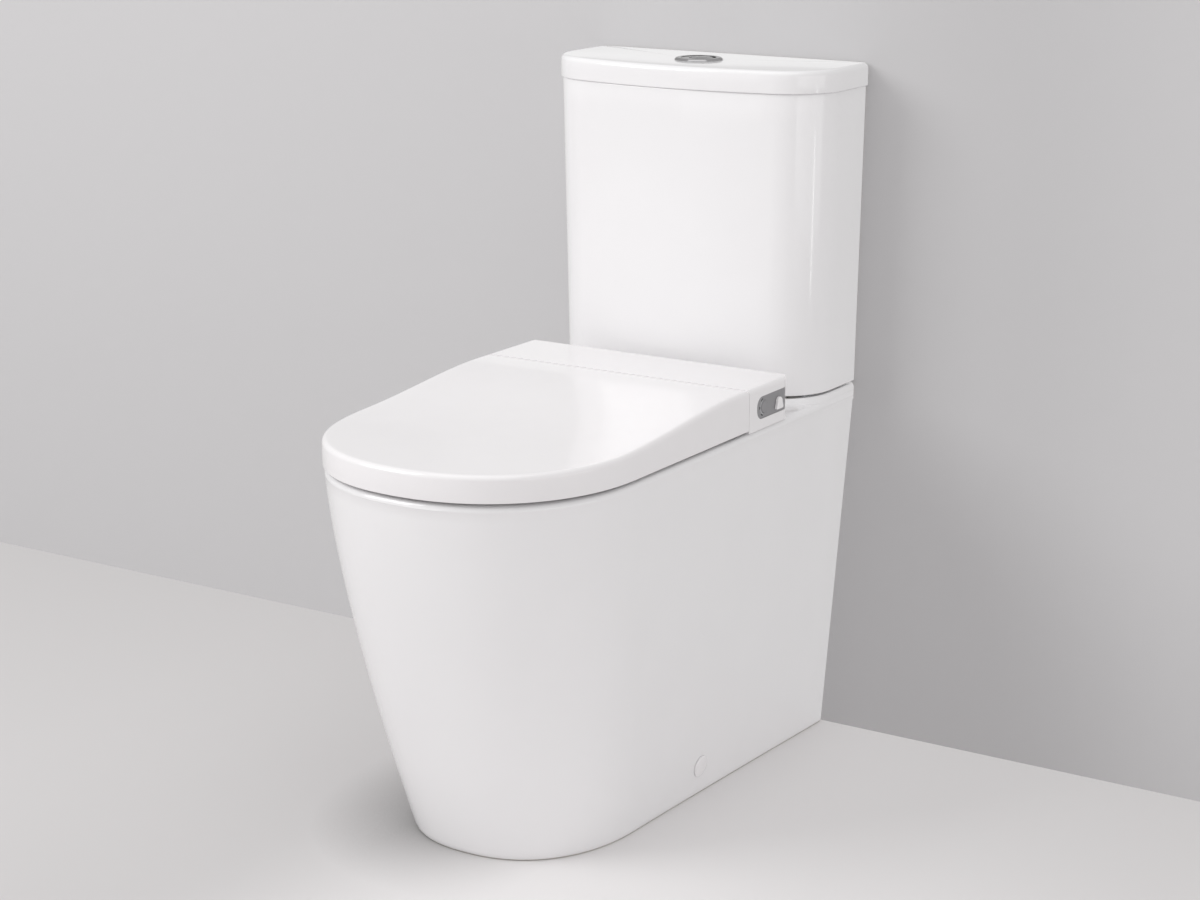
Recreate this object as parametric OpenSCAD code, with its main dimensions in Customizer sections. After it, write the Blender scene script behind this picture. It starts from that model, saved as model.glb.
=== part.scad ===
// Close coupled bidet toilet: a back to wall pan, a cistern with a dual flush button,
// and an electronic bidet seat with two wash nozzles, a dryer and a side panel.
// Millimetres. The front faces -Y, the wall stands at +Y, and the floor is z = 0.
// Inside the modules y = 0 is the wall; row() then moves all of it to the middle of the depth.

/* [Pan] */
// Distance from the wall to the nose of the rim
rim_reach = 712; // [690:1:740]
// Height of the rim above the floor
rim_h = 448; // [430:1:465]
// Length of the curved nose at the rim
rim_nose = 191; // [170:1:205]
// Distance from the wall to the nose of the foot
foot_reach = 595; // [570:1:620]
// Length of the curved nose at the foot
foot_nose = 165; // [150:1:180]
// Width of the foot at the wall
foot_wall_w = 298; // [286:1:310]
// Width of the foot where its nose begins
foot_front_w = 268; // [256:1:284]
// Thickness of the skirt
china_t = 12; // [10:0.5:14]
// Thickness of the deck and of the rim
deck_t = 14; // [12:0.5:16]
// Rounding of the rim's outer edge
rim_round = 7; // [4:0.5:9]
// Height of the pad that carries the cistern above the rim
plateau_h = 8; // [6:0.5:9]

/* [Bowl] */
// Width of the bowl's mouth
bowl_w = 258; // [240:1:270]
// Distance from the wall to the back of the bowl's mouth
bowl_back = 342; // [338:1:350]
// Width of the rim in front of the bowl
front_rim_w = 52; // [46:1:60]
// Height of the bottom of the sump
sump_z = 146; // [135:1:160]
// Width of the sump
sump_w = 84; // [76:1:92]
// Distance from the wall to the back of the sump
sump_back = 402; // [394:1:410]
// Distance from the wall to the front of the sump
sump_front = 508; // [498:1:520]
// Thickness of the bowl's wall
bowl_t = 10; // [8:0.5:12]
// Bore of the trapway
trap_d = 54; // [48:1:58]
// Height of the trapway's axis at the weir
weir_z = 272; // [262:1:282]
// Height of the outlet's axis
outlet_z = 186; // [176:1:196]
// Outer diameter of the outlet
outlet_d = 102; // [96:1:110]
// Distance from the wall to the end of the outlet
outlet_gap = 75; // [60:1:90]
// Bore of the flush duct
duct_d = 34; // [28:1:38]

/* [Side fixings] */
// Distance of the side fixings from the wall
fixing_y = 305; // [280:1:330]
// Height of the side fixings
fixing_z = 38; // [32:1:48]
// Diameter of the cover cap
cap_d = 27; // [24:0.5:32]
// Thickness of the floor bracket
bracket_t = 3; // [2.5:0.5:4]
// Floor hole of the bracket, diameter
bracket_hole_d = 8.4; // [7:0.1:9]

/* [Cistern] */
// Height of the tank
tank_h = 367; // [340:1:390]
// Width of the tank at its top
tank_w = 380; // [372:1:388]
// Depth of the tank at its top
tank_d = 156; // [150:1:162]
// How far each side and the front draw in towards the bottom
tank_draw = 6; // [3:0.5:8]
// Corner radius of the tank
tank_corner = 72; // [60:1:80]
// Radius of the tank's bowed front
tank_bow = 594; // [500:1:700]
// Wall of the tank
tank_t = 9.5; // [8:0.5:11]
// Shadow gap between the pan and the tank
coupling_gap = 3; // [2:0.5:5]
// Height of the cistern lid
lid_h = 27; // [24:0.5:32]
// How far the cistern lid stands proud of the tank
lid_over = 2.5; // [1.5:0.25:3.5]
// Edge rounding of the cistern lid
lid_round = 6; // [3:0.5:7]
// Thickness of the cistern lid
lid_t = 9; // [8:0.5:11]

/* [Flush parts] */
// Distance of the valve and the button from the wall
valve_y = 80; // [76:1:84]
// Outer diameter of the flush valve's thread
valve_thread_d = 60; // [56:1:62]
// Lift of the flush valve
valve_lift = 20; // [15:1:24]
// Outer diameter of the overflow tube
overflow_d = 32; // [28:1:34]
// Height of the overflow tube
overflow_h = 150; // [140:1:156]
// Spacing of the two coupling bolts
coupling_w = 144; // [140:1:156]
// Diameter of the coupling bolts
coupling_bolt_d = 8; // [6:0.5:8]
// Outer diameter of the button ring
ring_d = 59; // [56:0.5:62]
// Bore of the button ring
ring_bore = 43; // [42:0.5:45]
// Travel of the flush buttons
button_travel = 8; // [5:0.5:9]
// Offset of the inlet valve from the middle
inlet_x = 112; // [108:1:116]
// Distance of the inlet valve from the wall
inlet_y = 60; // [54:1:66]
// Diameter of the threaded water inlets
tail_d = 20.8; // [20:0.1:21]
// Outer diameter of the float cup
float_d = 60; // [50:1:64]

/* [Seat unit] */
// Width of the lid and of the rear housing
seat_w = 370; // [364:1:374]
// How far the seat stands out past the rim on each side
seat_over = 0.5; // [0:0.5:4]
// Distance from the wall to the nose of the lid
lid_reach = 714; // [692:1:742]
// Length of the lid's curved nose
lid_nose = 193; // [172:1:207]
// Distance from the wall to the back of the housing
housing_back = 170; // [166:1:174]
// Distance from the wall to the front of the housing
housing_front = 272; // [268:1:278]
// Height of the housing above the rim
housing_h = 52; // [50:0.5:56]
// Height of the lid's nose above the rim
lid_nose_h = 34; // [31:0.5:38]
// Gap between the rim and the lid's skirt
lid_gap = 3.5; // [2.5:0.25:5]
// Thickness of the lid and of the housing
shell_t = 2.5; // [2:0.25:3]
// Edge rounding of the lid and of the housing
shell_round = 6; // [4:0.5:7]
// Corner radius at the back of the housing
housing_corner = 20; // [16:1:22]
// Depth of the hinge axis below the lid's top
hinge_drop = 7.5; // [7.25:0.25:8.5]
// Distance of the hinge axis in front of the lid's rear edge
hinge_lead = 12; // [10:0.5:13]
// Diameter of the hinge knuckles
knuckle_d = 9; // [8:0.5:9]
// Diameter of the hinge pins
hinge_pin_d = 4.4; // [3:0.1:5]
// Joint line between the lid and the housing
lid_split = 1; // [1:0.25:2]

/* [Seat ring] */
// Gap between the lid's skirt and the seat ring
ring_gap = 4; // [3:0.5:6]
// Width of the opening
hole_w = 216; // [200:1:224]
// Width of the ring in front of the opening
ring_front_w = 66; // [58:1:74]
// Distance from the wall to the back of the opening
hole_back = 370; // [362:1:376]
// Distance from the wall to the back of the ring
ring_back = 304; // [300:1:308]
// Height of the bumpers under the ring
bumper_h = 5; // [4:0.25:6]
// Diameter of the bumpers under the ring
bumper_d = 16; // [10:1:18]

/* [Wash parts] */
// Slope of the nozzles
nozzle_slope = 8; // [6:0.5:9]
// Diameter of the nozzles
nozzle_d = 12; // [10:0.5:12]
// Length of the nozzles
nozzle_len = 134; // [115:1:138]
// Distance between the two nozzles
nozzle_pitch = 19; // [16:0.5:22]
// Distance from the wall to the front of the nozzle bay
bay_front = 350; // [347:1:354]
// Width of the nozzle bay
bay_w = 104; // [96:1:108]

/* [Side panel] */
// Height of the panel
panel_h = 27; // [22:0.5:30]
// Length of the panel
panel_len = 70; // [56:1:76]
// Height of the panel's lower edge above the rim
panel_rise = 12.5; // [8:0.5:15]
// Diameter of the round button
panel_button_d = 15; // [12:0.5:16]
// Height of the knob above the panel
knob_h = 4; // [3:0.25:5]

/* [Clearances] */
// Gap between fixed pieces that seat on each other
seat_clear = 0.3; // [0.2:0.05:0.4]
// Radial clearance of running fits
run_clear = 0.05; // [0.02:0.01:0.1]

/* [Hidden] */
$fn = 48;

china = "white";
plastic = "snow";
inner_plastic = "gainsboro";
blue_plastic = "steelblue";
metal = "silver";
rubber_black = "dimgray";
grey = "gray";

rim_w = seat_w - 2 * seat_over;
rim_half = rim_w / 2;
plateau_z = rim_h + plateau_h;
tank_z = plateau_z + coupling_gap;
tank_top = tank_z + tank_h;
tank_floor = tank_z + tank_t;
cistern_lid_z = tank_top + seat_clear;
cistern_top = cistern_lid_z + lid_h;
lid_under = cistern_top - lid_t;
deck_under = rim_h - deck_t;
housing_top = rim_h + housing_h;
seat_half = seat_w / 2;
seat_z = rim_h + seat_clear;
lid_z = rim_h + lid_gap;
lid_back = housing_front + lid_split;
hinge_y = lid_back + hinge_lead;
hinge_z = housing_top - hinge_drop;
row_shift = max(lid_reach, rim_reach) / 2;

// Counts of steps along the plan outlines
corner_steps = 5;
side_steps = 5;
nose_steps = 14;

module row() {
    translate([0, row_shift, 0]) children();
}

function lerp(a, b, f) = a + (b - a) * f;

// A rise that starts fast and eases out, for f from 0 to 1
function ease_out(f, power) = 1 - pow(1 - min(f, 1), power);

// An S curve between two flat ends
function s_curve(f) = f * f * (3 - 2 * f);

function mirrored(half) = concat(half,
    [for (i = [len(half) - 2 : -1 : 0]) [-half[i][0], half[i][1]]]);

// Plan of a D: a back edge with round corners, straight sides, and a nose
// that follows a superellipse with the given exponent
function d_plan(back_half, front_half, back, shoulder, nose, corner, power) = mirrored(concat(
    [for (k = [0 : corner_steps]) let (a = 90 - 90 * k / corner_steps)
        [back_half - corner + corner * cos(a), -back - corner + corner * sin(a)]],
    [for (k = [1 : side_steps - 1]) let (f = k / side_steps)
        [front_half + (back_half - front_half) * pow(1 - f, 1.2),
            lerp(-back - corner, -shoulder, f)]],
    [for (k = [0 : nose_steps]) let (a = 90 * k / nose_steps)
        [front_half * pow(cos(a), 2 / power),
            -shoulder - (nose - shoulder) * pow(sin(a), 2 / power)]]));

// Plan of the cistern: straight sides, large front corners and a slightly bowed front
function tank_plan(half, depth, back, corner, back_corner) = let (
    cx = half - corner,
    cy = tank_bow - depth - sqrt(pow(tank_bow - corner, 2) - cx * cx),
    tip = asin(cx / (tank_bow - corner)),
    reach = asin((cx + corner * sin(tip)) / tank_bow))
    mirrored(concat(
        [for (a = [90, 45, 0]) [half - back_corner + back_corner * cos(a),
            -back - back_corner + back_corner * sin(a)]],
        [for (k = [0 : 8]) let (a = -(90 - tip) * k / 8) [cx + corner * cos(a), cy + corner * sin(a)]],
        [for (k = [1 : 4]) let (a = reach * (1 - k / 4))
            [tank_bow * sin(a), tank_bow - depth - tank_bow * cos(a)]]));

function raised(plan, z) = [for (p = plan) [p[0], p[1], z]];

// Faces between ring j and ring j + 1 of n points each, after the first point
function band(j, n) = [for (i = [0 : n - 1]) let (k = (i + 1) % n, a = 1 + j * n, b = a + n)
    each [[a + i, a + k, b + k], [a + i, b + k, b + i]]];

// A closed body from a bottom point, rings that go round it, and a top point
module skin(first, rings, last) {
    n = len(rings[0]);
    count = len(rings);
    tip = 1 + count * n;
    polyhedron(
        points = concat([first], [for (r = rings) each r], [last]),
        faces = concat(
            [for (i = [0 : n - 1]) [0, 1 + (i + 1) % n, 1 + i]],
            [for (j = [0 : count - 2]) each band(j, n)],
            [for (i = [0 : n - 1]) [tip, tip - n + i, tip - n + (i + 1) % n]]));
}

// A closed tube of rings, where the last ring joins the first
module loop_skin(rings) {
    n = len(rings[0]);
    count = len(rings);
    polyhedron(
        points = [for (r = rings) each r],
        faces = [for (j = [0 : count - 1], i = [0 : n - 1]) let (
            k = (i + 1) % n, a = j * n, b = ((j + 1) % count) * n)
            each [[a + i, a + k, b + k], [a + i, b + k, b + i]]]);
}

// Round bars between points, with a ball a little larger at each bend
module bar_run(points, r) {
    for (i = [0 : len(points) - 2]) {
        d = points[i + 1] - points[i];
        translate(points[i])
            rotate([0, acos(d[2] / norm(d)), atan2(d[1], d[0])])
                cylinder(r = r, h = norm(d));
        if (i > 0) translate(points[i]) sphere(r = r * 1.015);
    }
}

module tube(r_out, r_in, h) {
    difference() {
        cylinder(r = r_out, h = h);
        translate([0, 0, -1]) cylinder(r = r_in, h = h + 2);
    }
}

module both_sides() {
    children();
    mirror([1, 0, 0]) children();
}

// The plan of the pan at height z, drawn in by inset; back is its distance from the wall
function pan_plan(z, inset, back, corner) = let (
    f = max(z, 0) / rim_h,
    wall_half = lerp(foot_wall_w, rim_w, min(f, 1)) / 2,
    front_half = lerp(foot_front_w, rim_w, ease_out(f, 1.4)) / 2,
    shoulder = lerp(foot_reach - foot_nose, rim_reach - rim_nose, ease_out(f, 1.42)),
    nose = lerp(foot_reach, rim_reach, ease_out(f, 1.29)))
    d_plan(wall_half - inset, front_half - inset, back, shoulder, nose - inset,
        corner, 2.3 - 0.15 * min(f, 1));

// Half width of the pan's side at distance d from the wall and height z
function pan_half(d, z) = let (
    f = z / rim_h,
    wall_half = lerp(foot_wall_w, rim_w, f) / 2,
    front_half = lerp(foot_front_w, rim_w, ease_out(f, 1.4)) / 2,
    shoulder = lerp(foot_reach - foot_nose, rim_reach - rim_nose, ease_out(f, 1.42)))
    front_half + (wall_half - front_half) * pow(1 - d / shoulder, 1.2);

// The bowl at depth share f: the mouth at 0, the bottom of the sump at 1
function bowl_z(f) = lerp(rim_h, sump_z, f);
function bowl_plan(f, grow) = let (
    s = pow(f, 1.75),
    half = lerp(bowl_w, sump_w, s) / 2 + grow,
    back = lerp(bowl_back, sump_back, s) - grow,
    nose = lerp(rim_reach - front_rim_w, sump_front, s) + grow,
    corner = min(half, (nose - back) / 2) * 0.86)
    d_plan(half, half, back, max(back + corner + 1, nose - 1.25 * half), nose, corner, 2.1);

outer_heights = [3, 45, 95, 150, 210, 270, 330, 385, rim_h - 14];
bowl_steps = [0.03, 0.12, 0.28, 0.45, 0.6, 0.74, 0.86, 0.95, 1];
bowl_mid = [0, -(sump_back + sump_front) / 2];

// The outside of the bowl, up to the underside of the deck
module bowl_shell() {
    skin(
        [bowl_mid[0], bowl_mid[1], sump_z - bowl_t],
        concat(
            [for (i = [len(bowl_steps) - 1 : -1 : 1])
                raised(bowl_plan(bowl_steps[i], bowl_t), bowl_z(bowl_steps[i]) - bowl_t)],
            [raised(bowl_plan(0, bowl_t + 2), deck_under)]),
        [bowl_mid[0], bowl_mid[1], deck_under]);
}

// The skirt and the deck, closed by a flat rim
module pan_body() {
    back_t = china_t + 2;
    skin(
        [bowl_mid[0], bowl_mid[1], deck_under],
        concat(
            [for (z = [deck_under, 300, 150, 0])
                raised(pan_plan(z, china_t, back_t, 6), z)],
            [raised(pan_plan(0, 1.5, 0, 5), 0)],
            [for (z = outer_heights) raised(pan_plan(z, 0, 0, 6), z)],
            [for (a = [0 : 30 : 90]) raised(
                pan_plan(rim_h, rim_round * (1 - cos(a)), 0, 6),
                rim_h - rim_round * (1 - sin(a)))]),
        [bowl_mid[0], bowl_mid[1], rim_h]);
}

// The inside of the bowl, with a softened edge at the rim
module bowl_cavity() {
    skin(
        [bowl_mid[0], bowl_mid[1], sump_z],
        concat(
            [for (i = [len(bowl_steps) - 1 : -1 : 0])
                raised(bowl_plan(bowl_steps[i], 0), bowl_z(bowl_steps[i]))],
            [raised(bowl_plan(0, 1.2), rim_h - 1.5)],
            [raised(bowl_plan(0, 5), rim_h)],
            [raised(bowl_plan(0, 12), rim_h + 3)]),
        [bowl_mid[0], bowl_mid[1], rim_h + 3]);
}

// The pad under the cistern, which rises from the deck in a hollow curve
module plateau() {
    half = rim_half - 0.2;
    foot_half = tank_w / 2 - tank_draw;
    depth = tank_d - tank_draw;
    steps = [[deck_under + 2, 2, 18], [rim_h - 0.1, 0.1, 18], [rim_h + 0.15 * plateau_h, 0, 12.5],
        [rim_h + 0.42 * plateau_h, 0, 7.5], [rim_h + 0.78 * plateau_h, 0.8, 4.2],
        [plateau_z, 2.6, 2.5]];
    skin([0, -valve_y, deck_under + 2],
        [for (s = steps) raised(
            tank_plan(min(half, foot_half + 3) - s[1], depth + s[2], 0, tank_corner + s[2], 5), s[0])],
        [0, -valve_y, plateau_z]);
}

// The inlets' tails widen to a shank behind a short groove, where the hose's nut stops
shank_r = tail_d / 2 + 0.8;
groove_w = 2;
groove_cut = 0.6;
inlet_nut_h = 9;

// A threaded tail from z = low, its groove, and the shank from z = shoulder up to z = high
module tail(low, shoulder, high) {
    translate([0, 0, low]) cylinder(r = tail_d / 2, h = shoulder - groove_w - low);
    translate([0, 0, low]) cylinder(r = tail_d / 2 - groove_cut, h = high - low);
    translate([0, 0, shoulder]) cylinder(r = shank_r, h = high - shoulder);
}

trap_points = [
    [0, -(sump_back + 20), sump_z + trap_d / 2 + 4],
    [0, -(sump_back - 52), sump_z + trap_d / 2 + 18],
    [0, -(sump_back - 64), weir_z],
    [0, -(sump_back - 114), weir_z],
    [0, -(sump_back - 162), outlet_z],
    [0, -(outlet_gap + 30), outlet_z]];
trap_wall = 10;
duct_z = deck_under - duct_d / 2 - 3;
inlet_hole_r = valve_thread_d / 2 + 2;
gasket_r = inlet_hole_r + 20;
recess_z = plateau_z - 9;
plate_bolt_x = 77.5;
plate_y = 230;
plate_bolt_r = 3.9;
coupling_r = coupling_bolt_d / 2;

module arch(w, h, r, d) {
    rotate([90, 0, 0]) linear_extrude(height = d) {
        translate([-w / 2, -1]) square([w, h - r + 1]);
        translate([-w / 2 + r, -1]) square([w - 2 * r, h + 1]);
        for (x = [-1, 1]) translate([x * (w / 2 - r), h - r]) circle(r = r);
    }
}

// The bowl, the trap and the ducts, which hang under the deck of the same casting
module bowl_and_trap() {
    color(china) row() difference() {
        union() {
            bowl_shell();
            bar_run(trap_points, trap_d / 2 + trap_wall);
            translate([0, -outlet_gap, outlet_z]) rotate([90, 0, 0])
                cylinder(r = outlet_d / 2, h = 70);
            translate([0, -valve_y + inlet_hole_r, duct_z]) rotate([90, 0, 0])
                cylinder(r = duct_d / 2 + 7, h = bowl_back - valve_y + inlet_hole_r - 4);
            translate([0, -valve_y, duct_z - duct_d / 2 - 8])
                cylinder(r = inlet_hole_r + 9, h = rim_h - duct_z + duct_d / 2);
        }
        translate([-400, -800, deck_under]) cube([800, 800, 100]);
        bowl_cavity();
        bar_run(trap_points, trap_d / 2);
        translate([0, -outlet_gap + 1, outlet_z]) rotate([90, 0, 0])
            cylinder(r = outlet_d / 2 - 9, h = 52);
        translate([0, -valve_y, duct_z]) rotate([90, 0, 0])
            cylinder(r = duct_d / 2, h = bowl_back - valve_y + 14);
        translate([0, -valve_y, duct_z - duct_d / 2]) cylinder(r = inlet_hole_r, h = 80);
    }
}

module pan() {
    color(china) row() difference() {
        union() {
            pan_body();
            plateau();
        }
        bowl_cavity();
        translate([0, -valve_y, deck_under - 1]) cylinder(r = inlet_hole_r, h = 80);
        translate([0, -valve_y, recess_z]) cylinder(r = gasket_r + seat_clear, h = 20);
        both_sides() {
            translate([coupling_w / 2, -valve_y, deck_under - 5])
                cylinder(r = coupling_r + 1.5, h = 40);
            translate([plate_bolt_x, -plate_y, deck_under - 5]) cylinder(r = 7.5, h = 30);
            translate([pan_half(fixing_y, fixing_z) - 30, -fixing_y, fixing_z])
                rotate([0, 90, 0]) cylinder(r = 4.5, h = 50);
            translate([pan_half(fixing_y, fixing_z) - 6, -fixing_y, fixing_z])
                rotate([0, 90, 0]) cylinder(r = 9, h = 30);
        }
        translate([-inlet_x, -inlet_y, deck_under - 5]) cylinder(r = 24, h = 40);
        translate([-supply_x, -drop_y, deck_under - 5]) cylinder(r = supply_hole_r, h = 30);
        translate([-gland_x, -drop_y, deck_under - 5]) cylinder(r = 8, h = 30);
        translate([0, 1, 0]) arch(200, 330, 60, china_t + 6);
    }
}

// The side wall's lean, which the cover cap follows
cap_lean = atan((pan_half(fixing_y, fixing_z + 10) - pan_half(fixing_y, fixing_z - 10)) / 20);
cap_turn = atan((pan_half(fixing_y - 10, fixing_z) - pan_half(fixing_y + 10, fixing_z)) / 20);
wall_x = pan_half(fixing_y, fixing_z);

module at_side_wall() {
    translate([wall_x, -fixing_y, fixing_z])
        rotate([0, 0, -cap_turn]) rotate([0, 90 + cap_lean, 0]) children();
}

module side_fixing_caps() {
    edge_h = 1.2;
    dome_h = 2.8;
    color(china) row() both_sides() at_side_wall() {
        translate([0, 0, seat_clear]) rotate_extrude() polygon(concat([[0, 0], [cap_d / 2, 0]],
            [for (k = [0 : 6]) let (a = k * 15)
                [cap_d / 2 * cos(a), edge_h + (dome_h - edge_h) * sin(a)]]));
        translate([0, 0, -1]) cylinder(r = 7, h = 2);
    }
}

module side_fixing_screws() {
    head_r = 7.5;
    head_h = 3.5;
    color(metal) row() both_sides() translate([wall_x - 6, -fixing_y, fixing_z])
        rotate([0, 90, 0]) {
            cylinder(r = head_r, h = head_h);
            translate([0, 0, -28]) cylinder(r = 3, h = 28.5);
        }
}

bracket_w = 40;
bracket_x = pan_half(fixing_y + bracket_w / 2, 0) - china_t - seat_clear;
module floor_brackets() {
    foot_len = 34;
    tall = fixing_z + 14;
    color(metal) row() both_sides() difference() {
        translate([bracket_x - foot_len, -fixing_y - bracket_w / 2, 0]) {
            cube([foot_len, bracket_w, bracket_t]);
            translate([foot_len - bracket_t, 0, 0]) cube([bracket_t, bracket_w, tall]);
            for (y = [0, bracket_w - bracket_t])
                translate([foot_len, y + bracket_t, bracket_t]) rotate([90, 0, 0])
                    linear_extrude(height = bracket_t)
                        polygon([[-bracket_t, -1], [-foot_len * 0.7, -1], [-bracket_t, tall * 0.6]]);
        }
        translate([bracket_x - foot_len * 0.55, -fixing_y, -1])
            cylinder(r = bracket_hole_d / 2, h = bracket_t + 2);
        translate([bracket_x - bracket_t - 1, -fixing_y, fixing_z]) rotate([0, 90, 0])
            cylinder(r = 3 + run_clear, h = bracket_t + 2);
    }
}

// The tank's outline at share f of its height, drawn in by inset
function tank_ring(f, inset, back) = tank_plan(
    tank_w / 2 - tank_draw * (1 - f) - inset,
    tank_d - tank_draw * (1 - f) - inset,
    back, tank_corner - inset, max(1, min(5, 12 - back)));

module cistern_tank() {
    color(china) row() difference() {
        skin([0, -valve_y, tank_z],
            [raised(tank_ring(0, 2, 1), tank_z), raised(tank_ring(0, 0.5, 0.25), tank_z + 0.6),
                raised(tank_ring(0, 0, 0), tank_z + 2), raised(tank_ring(1, 0, 0), tank_top - 2),
                raised(tank_ring(1, 1.5, 1), tank_top),
                raised(tank_ring(1, tank_t, tank_t), tank_top),
                raised(tank_ring(0, tank_t, tank_t), tank_floor + 4),
                raised(tank_ring(0, tank_t + 4, tank_t + 1), tank_floor)],
            [0, -valve_y, tank_floor]);
        translate([0, -valve_y, tank_z - 1]) cylinder(r = valve_thread_d / 2 + 1, h = tank_t + 2);
        both_sides() translate([coupling_w / 2, -valve_y, tank_z - 1])
            cylinder(r = coupling_r + 1, h = tank_t + 2);
        translate([-inlet_x, -inlet_y, tank_z - 1]) cylinder(r = shank_r + 0.6, h = tank_t + 2);
    }
}

function lid_ring(inset) = tank_plan(tank_w / 2 + lid_over - inset, tank_d + lid_over - inset,
    0, tank_corner + lid_over - inset, 5);
function lip_ring(inset) = tank_ring(1, tank_t + inset, tank_t + inset);

module cistern_lid() {
    lip = 1.5;
    lip_t = 5;
    lip_drop = 8;
    color(china) row() difference() {
        skin([0, -valve_y, lid_under],
            [raised(lip_ring(lip + lip_t), lid_under),
                raised(lip_ring(lip + lip_t), cistern_lid_z - lip_drop),
                raised(lip_ring(lip), cistern_lid_z - lip_drop),
                raised(lip_ring(lip), cistern_lid_z),
                raised(lid_ring(1), cistern_lid_z),
                raised(lid_ring(0), cistern_lid_z + 1),
                for (a = [0 : 22.5 : 90]) raised(lid_ring(lid_round * (1 - cos(a))),
                    cistern_top - lid_round * (1 - sin(a)))],
            [0, -valve_y, cistern_top]);
        translate([0, -valve_y, lid_under - 1]) cylinder(r = button_hole_r, h = lid_t + 2);
    }
}

module coupling_gasket() {
    color(rubber_black) row() translate([0, -valve_y, recess_z])
        tube(gasket_r, valve_thread_d / 2 + 13, tank_z - recess_z);
}

module flush_valve_nut() {
    nut_h = 10;
    color(inner_plastic) row() translate([0, -valve_y, tank_z - nut_h]) difference() {
        cylinder(r = valve_thread_d / 2 + 12, h = nut_h, $fn = 8);
        translate([0, 0, -1]) cylinder(r = valve_thread_d / 2 + run_clear, h = nut_h + 2, $fn = 48);
    }
}

washer_t = 3;
bolt_head_h = 5;
wing_nut_h = 9;
module coupling_bolts() {
    color(metal) row() both_sides() translate([coupling_w / 2, -valve_y, 0]) {
        translate([0, 0, deck_under - 20]) cylinder(r = coupling_r, h = tank_floor - deck_under + 24);
        translate([0, 0, tank_floor + washer_t]) difference() {
            cylinder(r = 9, h = bolt_head_h);
            translate([-7, -0.9, bolt_head_h - 2]) cube([14, 1.8, 3]);
        }
    }
}

module bolt_washers() {
    color(rubber_black) row() both_sides() translate([coupling_w / 2, -valve_y, tank_floor])
        tube(13, coupling_r + run_clear, washer_t);
}

module wing_nuts() {
    color(metal) row() both_sides()
        translate([coupling_w / 2, -valve_y, deck_under - wing_nut_h]) difference() {
            union() {
                cylinder(r = 7, h = wing_nut_h);
                translate([0, 0, wing_nut_h - 1.5]) cylinder(r = 12, h = 1.5);
                translate([-2, -16, 0]) cube([4, 32, 6]);
            }
            translate([0, 0, -1]) cylinder(r = coupling_r + run_clear, h = wing_nut_h + 2);
        }
}

pad_w = 20;
pad_d = 60;
module cistern_pads() {
    color(rubber_black) row() both_sides()
        translate([tank_w / 2 - 22 - pad_w, -(tank_d + pad_d) / 2 + 3, plateau_z])
            cube([pad_w, pad_d, coupling_gap]);
}

valve_flange_z = tank_floor + 1.5;
valve_flange_h = 5.5;
valve_seat_z = valve_flange_z + valve_flange_h;
cage_r = 40;
cage_h = 66;
seal_t = 4;
tower_h = 84;
head_h = 44;
head_z = valve_seat_z + cage_h + tower_h;
full_rod_x = 8;
half_rod_x = -15.4;
half_stem_r = 2.5;
rod_r = 3;
rod_sink = 8;

module flush_valve_washer() {
    color(rubber_black) row() translate([0, -valve_y, tank_floor])
        tube(cage_r + 4, valve_thread_d / 2 + run_clear, valve_flange_z - tank_floor);
}

module flush_valve_body() {
    post_w = 9;
    color(inner_plastic) row() translate([0, -valve_y, 0]) difference() {
        union() {
            translate([0, 0, recess_z - 5])
                cylinder(r = valve_thread_d / 2, h = valve_flange_z - recess_z + 5.5);
            translate([0, 0, valve_flange_z]) cylinder(r = cage_r + 4, h = valve_flange_h);
            for (a = [30 : 60 : 330]) rotate([0, 0, a])
                translate([cage_r - 7, -post_w / 2, valve_seat_z - 1]) cube([6, post_w, cage_h + 2]);
            translate([0, 0, valve_seat_z + cage_h]) cylinder(r = cage_r, h = 5);
            translate([0, 0, valve_seat_z + cage_h + 4]) cylinder(r = overflow_d / 2 + 4.5, h = tower_h);
            translate([-28, -25, head_z]) cube([56, 50, head_h]);
        }
        translate([0, 0, recess_z - 6])
            cylinder(r = valve_thread_d / 2 - 6, h = valve_seat_z - recess_z + 7);
        translate([0, 0, valve_seat_z + cage_h - 1])
            cylinder(r = overflow_d / 2 + run_clear, h = tower_h + valve_lift + 4);
        for (a = [0 : 90 : 270]) rotate([0, 0, a])
            translate([8, -5, valve_seat_z + cage_h + 30]) cube([20, 10, 36]);
        translate([full_rod_x, 0, head_z + head_h - rod_sink - button_travel - 2])
            cylinder(r = rod_r + 0.4, h = 40);
        translate([half_rod_x, 0, head_z + head_h - rod_sink - button_travel - 2])
            cylinder(r = rod_r + 0.4, h = 40);
        for (x = [-1, 1]) translate([x * 28 - 4, -30, head_z + 10]) cube([8, 60, 6]);
    }
}

module overflow_tube() {
    color(blue_plastic) row() translate([0, -valve_y, valve_seat_z + 1]) {
        tube(overflow_d / 2, overflow_d / 2 - 2.5, overflow_h);
        translate([0, 0, seal_t]) tube(overflow_d / 2 + 7, overflow_d / 2 - 1, 2);
    }
}

module valve_seal() {
    color(rubber_black) row() translate([0, -valve_y, valve_seat_z])
        tube(valve_thread_d / 2 - 1, overflow_d / 2 + run_clear, seal_t + 1);
}

button_hole_r = ring_bore / 2 + 2.8;
barrel_r = button_hole_r - 0.4;
ring_h = 3;
cup_floor_z = cistern_top - 30;
full_button_r = 15.5;
full_button_x = 4.5;
button_under = cistern_top - 5;
button_top = cistern_top + ring_h + 0.6;

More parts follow.
